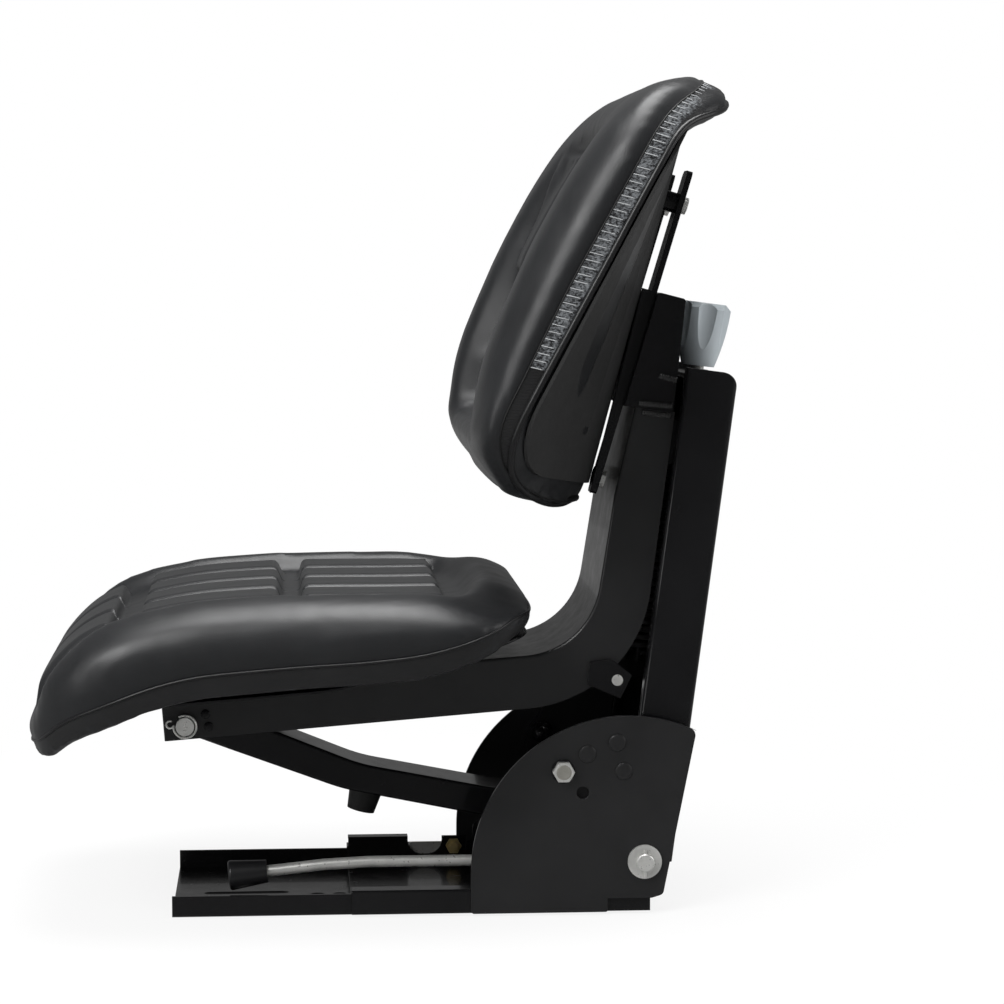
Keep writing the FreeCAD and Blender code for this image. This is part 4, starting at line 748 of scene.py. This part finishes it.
def dress_back_band(cover, edges, outline):
    """Printed and ribbed band of the backrest, with its seam, piping and stitches."""
    strip, grid = lay_strip("backrest_band", edges, cover, band_vinyl, BACK)
    strip.data.materials.append(band_painted_shade)
    strip.data.materials.append(ribbed_vinyl)
    count = len(outline)
    for face in strip.data.polygons:
        row, column = divmod(min(face.vertices), count)
        x, w = outline[column]
        on_head = w > HEAD_START and abs(x) < HEAD_HALF
        if w < PRINT_LOW or row > printed_rows(w) + 1 or on_head:
            face.material_index = RIBBED
        # The row just behind the print takes the darker copy of the print: painted shade
        elif row > printed_rows(w):
            face.material_index = PAINTED_SHADE
        else:
            face.material_index = PRINTED
    carried(strip)
    seam = tube_along("backrest_seam", grid[0], 0.9, seam_vinyl, sides=6, closed=True)
    carried(seam)
    piping = tube_along("backrest_piping", grid[-1], 3.0, piping_vinyl, sides=10, closed=True)
    carried(piping)
    along = np.roll(outline, -1, 0) - np.roll(outline, 1, 0)
    along /= np.linalg.norm(along, axis=1, keepdims=True)
    turn = np.array(BACK.to_3x3())
    out = np.stack([along[:, 1], 0 * along[:, 0], -along[:, 0]], axis=1) @ turn.T
    stitches = []
    last = outline[0]
    for i, point in enumerate(outline):
        stitched = abs(point[0]) > STITCH_SIDE and point[1] > STITCH_LOW
        if stitched and np.linalg.norm(point - last) > STITCH_PITCH:
            last = point
            stitches.append(stretch_thread(grid[:printed_rows(point[1]) + 1, i], out[i]))
    join_threads("backrest_stitches", stitches, STITCH_RADIUS)


def stretch_thread(points, out):
    """A straight thread over a column of the strip's points, lifted just clear of them."""
    share = np.linspace(0, 1, len(points)).reshape(-1, 1)
    line = points[0] + (points[-1] - points[0]) * share
    lift = max(0, ((points - line) @ out).max()) + STITCH_LIFT
    return line + out * lift


def dress_seat_band(cover, edges):
    """Band of the seat with the welt above it."""
    strip, grid = lay_strip("seat_band", edges, cover, base_vinyl, SEAT)
    carried(strip)
    welt = tube_along("seat_welt", grid[-1], 1.3, piping_vinyl, sides=8, closed=True)
    carried(welt)


def join_threads(name, lines, radius):
    """Short round threads as one piece."""
    verts, faces = [], []
    for line in lines:
        line = [Vector(p) for p in line]
        along = (line[-1] - line[0]).normalized()
        side = along.cross(Vector((0, 0, 1))).normalized()
        up = along.cross(side)
        rings = [[p + (side * c + up * s) * radius for c, s in circle(5)] for p in line]
        more, quads = skin(rings)
        faces += [tuple(index + len(verts) for index in face) for face in quads]
        verts += more
    carried(new_object(name, verts, faces, thread))


# Small details of the metalwork: places in the part's frame or the column's
PLATE_SIDE = 115        # outer face of a fan plate
BOLT_SIDE = 123.4       # end of the bolt's head
FRAME_SIDE = 85         # outer face of the seat frame
PLUG_PLACES = ((153.8, 142.7), (180.0, 152.4), (185.8, 127.1))
PLUG_PROFILE = [(5.2, -3.6), (5.3, -0.4), (5.3, 0.05), (7.6, 0.05), (7.6, 0.7), (7.0, 1.2),
                (4.0, 1.5), (0.6, 1.55)]
BOLT_PLACE = (132.35, 127.8)
BOLT_PROFILE = [(6.6, -0.3), (6.6, 0.1), (6.2, 0.3), (5.4, 0.32), (4.9, 0.12), (0.5, 0.1)]
BOSS_PLACES = ((-398, 79), (-394, 68.5))
BOSS_PROFILE = [(4.2, -0.6), (4.2, 0.9), (3.4, 1.6), (1.8, 2.0), (0.3, 2.05)]
WELDS = (("post_weld", (-56, 398.2), (-25, 399.4)), ("post_seam", (-52, 390.6), (-25, 390.8)),
         ("post_bead", (-41, 424.5), (-24, 422)))
CLIP_PLACE = (90.4, -414.5, 66.5)
CLIP_BEND, CLIP_EYE, CLIP_WIRE = 10, 3.2, 0.9
WELD_RADIUS, RIPPLE, RIPPLE_PITCH = 2.7, 0.45, 2.2


def turned(name, profile, place, side, material, body, where=None):
    """A turned piece: profile (radius, out) along X from its place, for one side."""
    x, y, z = place
    verts, faces = skin([[(x + side * out, y + radius * c, z + radius * s)
                          for c, s in circle(24)] for radius, out in profile])
    piece = new_object(name, verts, faces, material, where)
    fix_normals(piece)
    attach(piece, body)
    return piece


def make_fittings():
    """Plugs, bolt faces, bosses, clips and weld beads on both sides."""
    for side, word in ((1, "left"), (-1, "right")):
        for number, place in enumerate(PLUG_PLACES):
            turned(f"fan_plug_{word}_{number + 1}", PLUG_PROFILE, (side * PLATE_SIDE, *place),
                   side, plate_black, "carriage")
        turned(f"bolt_face_{word}", BOLT_PROFILE, (side * BOLT_SIDE, *BOLT_PLACE), side,
               forged_zinc, "carriage")
        for number, place in enumerate(BOSS_PLACES):
            turned(f"frame_boss_{word}_{number + 1}", BOSS_PROFILE, (side * FRAME_SIDE, *place),
                   side, gloss_black, "seat_carrier", COLUMN)
        add_clip(f"pin_clip_{word}", side)
        for name, *ends in WELDS:
            add_weld(f"{name}_{word}", side, ends)


def add_clip(name, side):
    """A spring wire bent round the front pin's end, with a small loop."""
    out, d, w = CLIP_PLACE
    x = side * out
    points = [(x, d + CLIP_BEND * math.cos(a), w + CLIP_BEND * math.sin(a)) for a in (
        math.radians(130 - 12 * k) for k in range(27))]
    _, end_d, end_w = points[-1]
    points += [(x, end_d - CLIP_EYE + CLIP_EYE * math.cos(a), end_w + CLIP_EYE * math.sin(a))
               for a in (math.radians(-24 * k) for k in range(1, 13))]
    clip = tube_along(name, points, CLIP_WIRE, zinc, sides=8, where=COLUMN)
    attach(clip, "seat_carrier")


def add_weld(name, side, ends):
    """A weld bead with overlapping ripples on the post's side."""
    start, end = (Vector((side * (FRAME_SIDE - 0.1), d, w)) for d, w in ends)
    steps = 4 * max(3, int((end - start).length / RIPPLE_PITCH))
    points = [start + (end - start) * (k / steps) for k in range(steps + 1)]
    radii = [(WELD_RADIUS + RIPPLE * math.sin(math.pi * k / 2)) * (0.5 if k in (0, steps) else 1)
             for k in range(steps + 1)]
    weld = tube_along(name, points, radii, weld_black, sides=12, where=COLUMN)
    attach(weld, "seat_carrier")


# Spring: a close coil of round wire, stretched between the yoke and the hook
def make_spring():
    """wire is the wire's radius, mean the coil's, both in millimetres."""
    foot, head, across = 169, 395, -15.8
    wire, mean, turns, steps = 2.6, 17.4, 31, 24
    points = []
    for n in range(turns * steps + 1):
        a = 2 * math.pi * n / steps
        up = foot + wire + (head - foot - 2 * wire) * n / (turns * steps)
        points.append((mean * math.cos(a), across + mean * math.sin(a), up))
    spring = tube_along("spring_coil", points, wire, spring_steel, sides=10, where=COLUMN)
    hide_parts("spring")
    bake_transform(spring)


# Light, floor and camera
def lamp(name, place, target, size, power):
    """A soft rectangular lamp at a place, turned to its target."""
    data = bpy.data.lights.new(name, "AREA")
    data.shape, data.size, data.size_y, data.energy = "RECTANGLE", *size, power
    light = bpy.data.objects.new(name, data)
    light.location = place
    light.rotation_euler = (Vector(target) - Vector(place)).to_track_quat("-Z", "Y").to_euler()
    bpy.context.scene.collection.objects.link(light)


def make_studio():
    lamp("key", (1.7, -1.3, 1.9), (0, 0, 0.35), (1.1, 0.9), 38)
    lamp("top", (0.1, 0.0, 2.2), (0, 0.05, 0.3), (1.2, 1.6), 50)
    lamp("front", (1.3, -1.8, 0.45), (0, 0, 0.4), (0.45, 1.5), 7)
    lamp("rear", (0.7, 2.1, 1.0), (0, 0.1, 0.35), (1.0, 1.4), 9)


def make_world():
    scene = bpy.context.scene
    world = bpy.data.worlds.new("studio")
    scene.world = world
    world.use_nodes = True
    nodes, links = world.node_tree.nodes, world.node_tree.links
    nodes.clear()
    output = nodes.new("ShaderNodeOutputWorld")
    soft = add_node(nodes, "ShaderNodeBackground", Color=(1, 1, 1, 1))
    rays = nodes.new("ShaderNodeLightPath")
    links.new(map_range(nodes, links, rays.outputs["Is Diffuse Ray"], 0, 1, 0.05, 0.45),
              soft.inputs["Strength"])
    white = add_node(nodes, "ShaderNodeBackground", Color=(1, 1, 1, 1), Strength=1.0)
    mix = nodes.new("ShaderNodeMixShader")
    links.new(white_rays(nodes, links, studio_wall(nodes, links)), mix.inputs["Fac"])
    links.new(soft.outputs[0], mix.inputs[1])
    links.new(white.outputs[0], mix.inputs[2])
    links.new(mix.outputs[0], output.inputs["Surface"])


def studio_wall(nodes, links):
    """1 towards the white wall behind the seat, low in the darker room on the other side."""
    direction = nodes.new("ShaderNodeTexCoord")
    parts = nodes.new("ShaderNodeSeparateXYZ")
    links.new(direction.outputs["Generated"], parts.inputs[0])
    return map_range(nodes, links, parts.outputs["X"], 0.25, -0.45, 0.0, 0.16,
                     interpolation_type="SMOOTHSTEP")


def white_rays(nodes, links, mirrored=None):
    """1 for rays that see the background straight, mirrored or through something clear."""
    rays = nodes.new("ShaderNodeLightPath")
    glossy = rays.outputs["Is Glossy Ray"]
    if mirrored:
        glossy = join_math(nodes, links, "MULTIPLY", glossy, mirrored)
    seen = join_math(nodes, links, "MAXIMUM", rays.outputs["Is Camera Ray"], glossy)
    return join_math(nodes, links, "MAXIMUM", seen, rays.outputs["Is Transmission Ray"])


def make_floor():
    """A pale floor that shows white, with a soft contact shadow, and mirrors darker."""
    bpy.ops.mesh.primitive_plane_add(size=12, location=(0, 0, -0.0005))
    floor = bpy.context.object
    floor.name = "studio_floor"
    material, nodes, links, shader = node_tree("studio_floor")
    shader.inputs["Base Color"].default_value = (0.9, 0.9, 0.9, 1)
    shader.inputs["Roughness"].default_value = 0.7
    glow = add_node(nodes, "ShaderNodeEmission", Color=(1, 1, 1, 1), Strength=1.0)
    mix = nodes.new("ShaderNodeMixShader")
    place = nodes.new("ShaderNodeTexCoord")
    glossy = nodes.new("ShaderNodeLightPath").outputs["Is Glossy Ray"]
    # The share of plain white grows away from the seat, so no horizon shows
    reach = add_node(nodes, "ShaderNodeVectorMath", operation="LENGTH")
    links.new(place.outputs["Object"], reach.inputs[0])
    plain = map_range(nodes, links, reach.outputs["Value"], 0.35, 0.9, 0.86, 1.0)
    seen = join_math(nodes, links, "MULTIPLY", white_rays(nodes, links), plain)
    links.new(join_math(nodes, links, "MAXIMUM", seen, glossy), mix.inputs["Fac"])
    # Mirrored, the floor is darker on the near side, as in the photo's studio
    parts = nodes.new("ShaderNodeSeparateXYZ")
    links.new(place.outputs["Object"], parts.inputs[0])
    shade = map_range(nodes, links, parts.outputs["X"], 0.5, -0.6, 0.9, 0.6)
    darker = join_math(nodes, links, "MULTIPLY", shade, glossy)
    links.new(join_math(nodes, links, "SUBTRACT", 1.0, darker), glow.inputs["Strength"])
    links.new(shader.outputs[0], mix.inputs[1])
    links.new(glow.outputs[0], mix.inputs[2])
    links.new(mix.outputs[0], nodes["Material Output"].inputs["Surface"])
    floor.data.materials.append(material)


# Fitted to the near and far edges of the same pieces in the photo
CAMERA_PLACE = (2.734126, -0.109719, 0.584477)
CAMERA_YAW, CAMERA_PITCH = math.radians(4.113), math.radians(4.784)
LENS, SENSOR = 108.82, 36


def make_camera():
    yaw, pitch = CAMERA_YAW, CAMERA_PITCH
    forward = Vector((-math.cos(yaw) * math.cos(pitch), math.sin(yaw) * math.cos(pitch),
                      -math.sin(pitch)))
    data = bpy.data.cameras.new("camera")
    data.lens, data.sensor_width = LENS, SENSOR
    camera = bpy.data.objects.new("camera", data)
    camera.location = CAMERA_PLACE
    camera.rotation_euler = forward.to_track_quat("-Z", "Y").to_euler()
    bpy.context.scene.collection.objects.link(camera)
    bpy.context.scene.camera = camera


dress_nodes()
seat_cushion, seat_edges = make_seat_cushion()
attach(seat_cushion, "seat_carrier")
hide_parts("seat_cushion")
back_cushion, back_edges, back_outline = make_back_cushion()
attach(back_cushion, "seat_carrier")
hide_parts("backrest_cushion")
dress_back_band(back_cushion, back_edges, back_outline)
dress_seat_band(seat_cushion, seat_edges)
make_spring()
make_fittings()

make_studio()
make_world()
make_floor()
make_camera()
bpy.context.scene.view_settings.view_transform = "Standard"
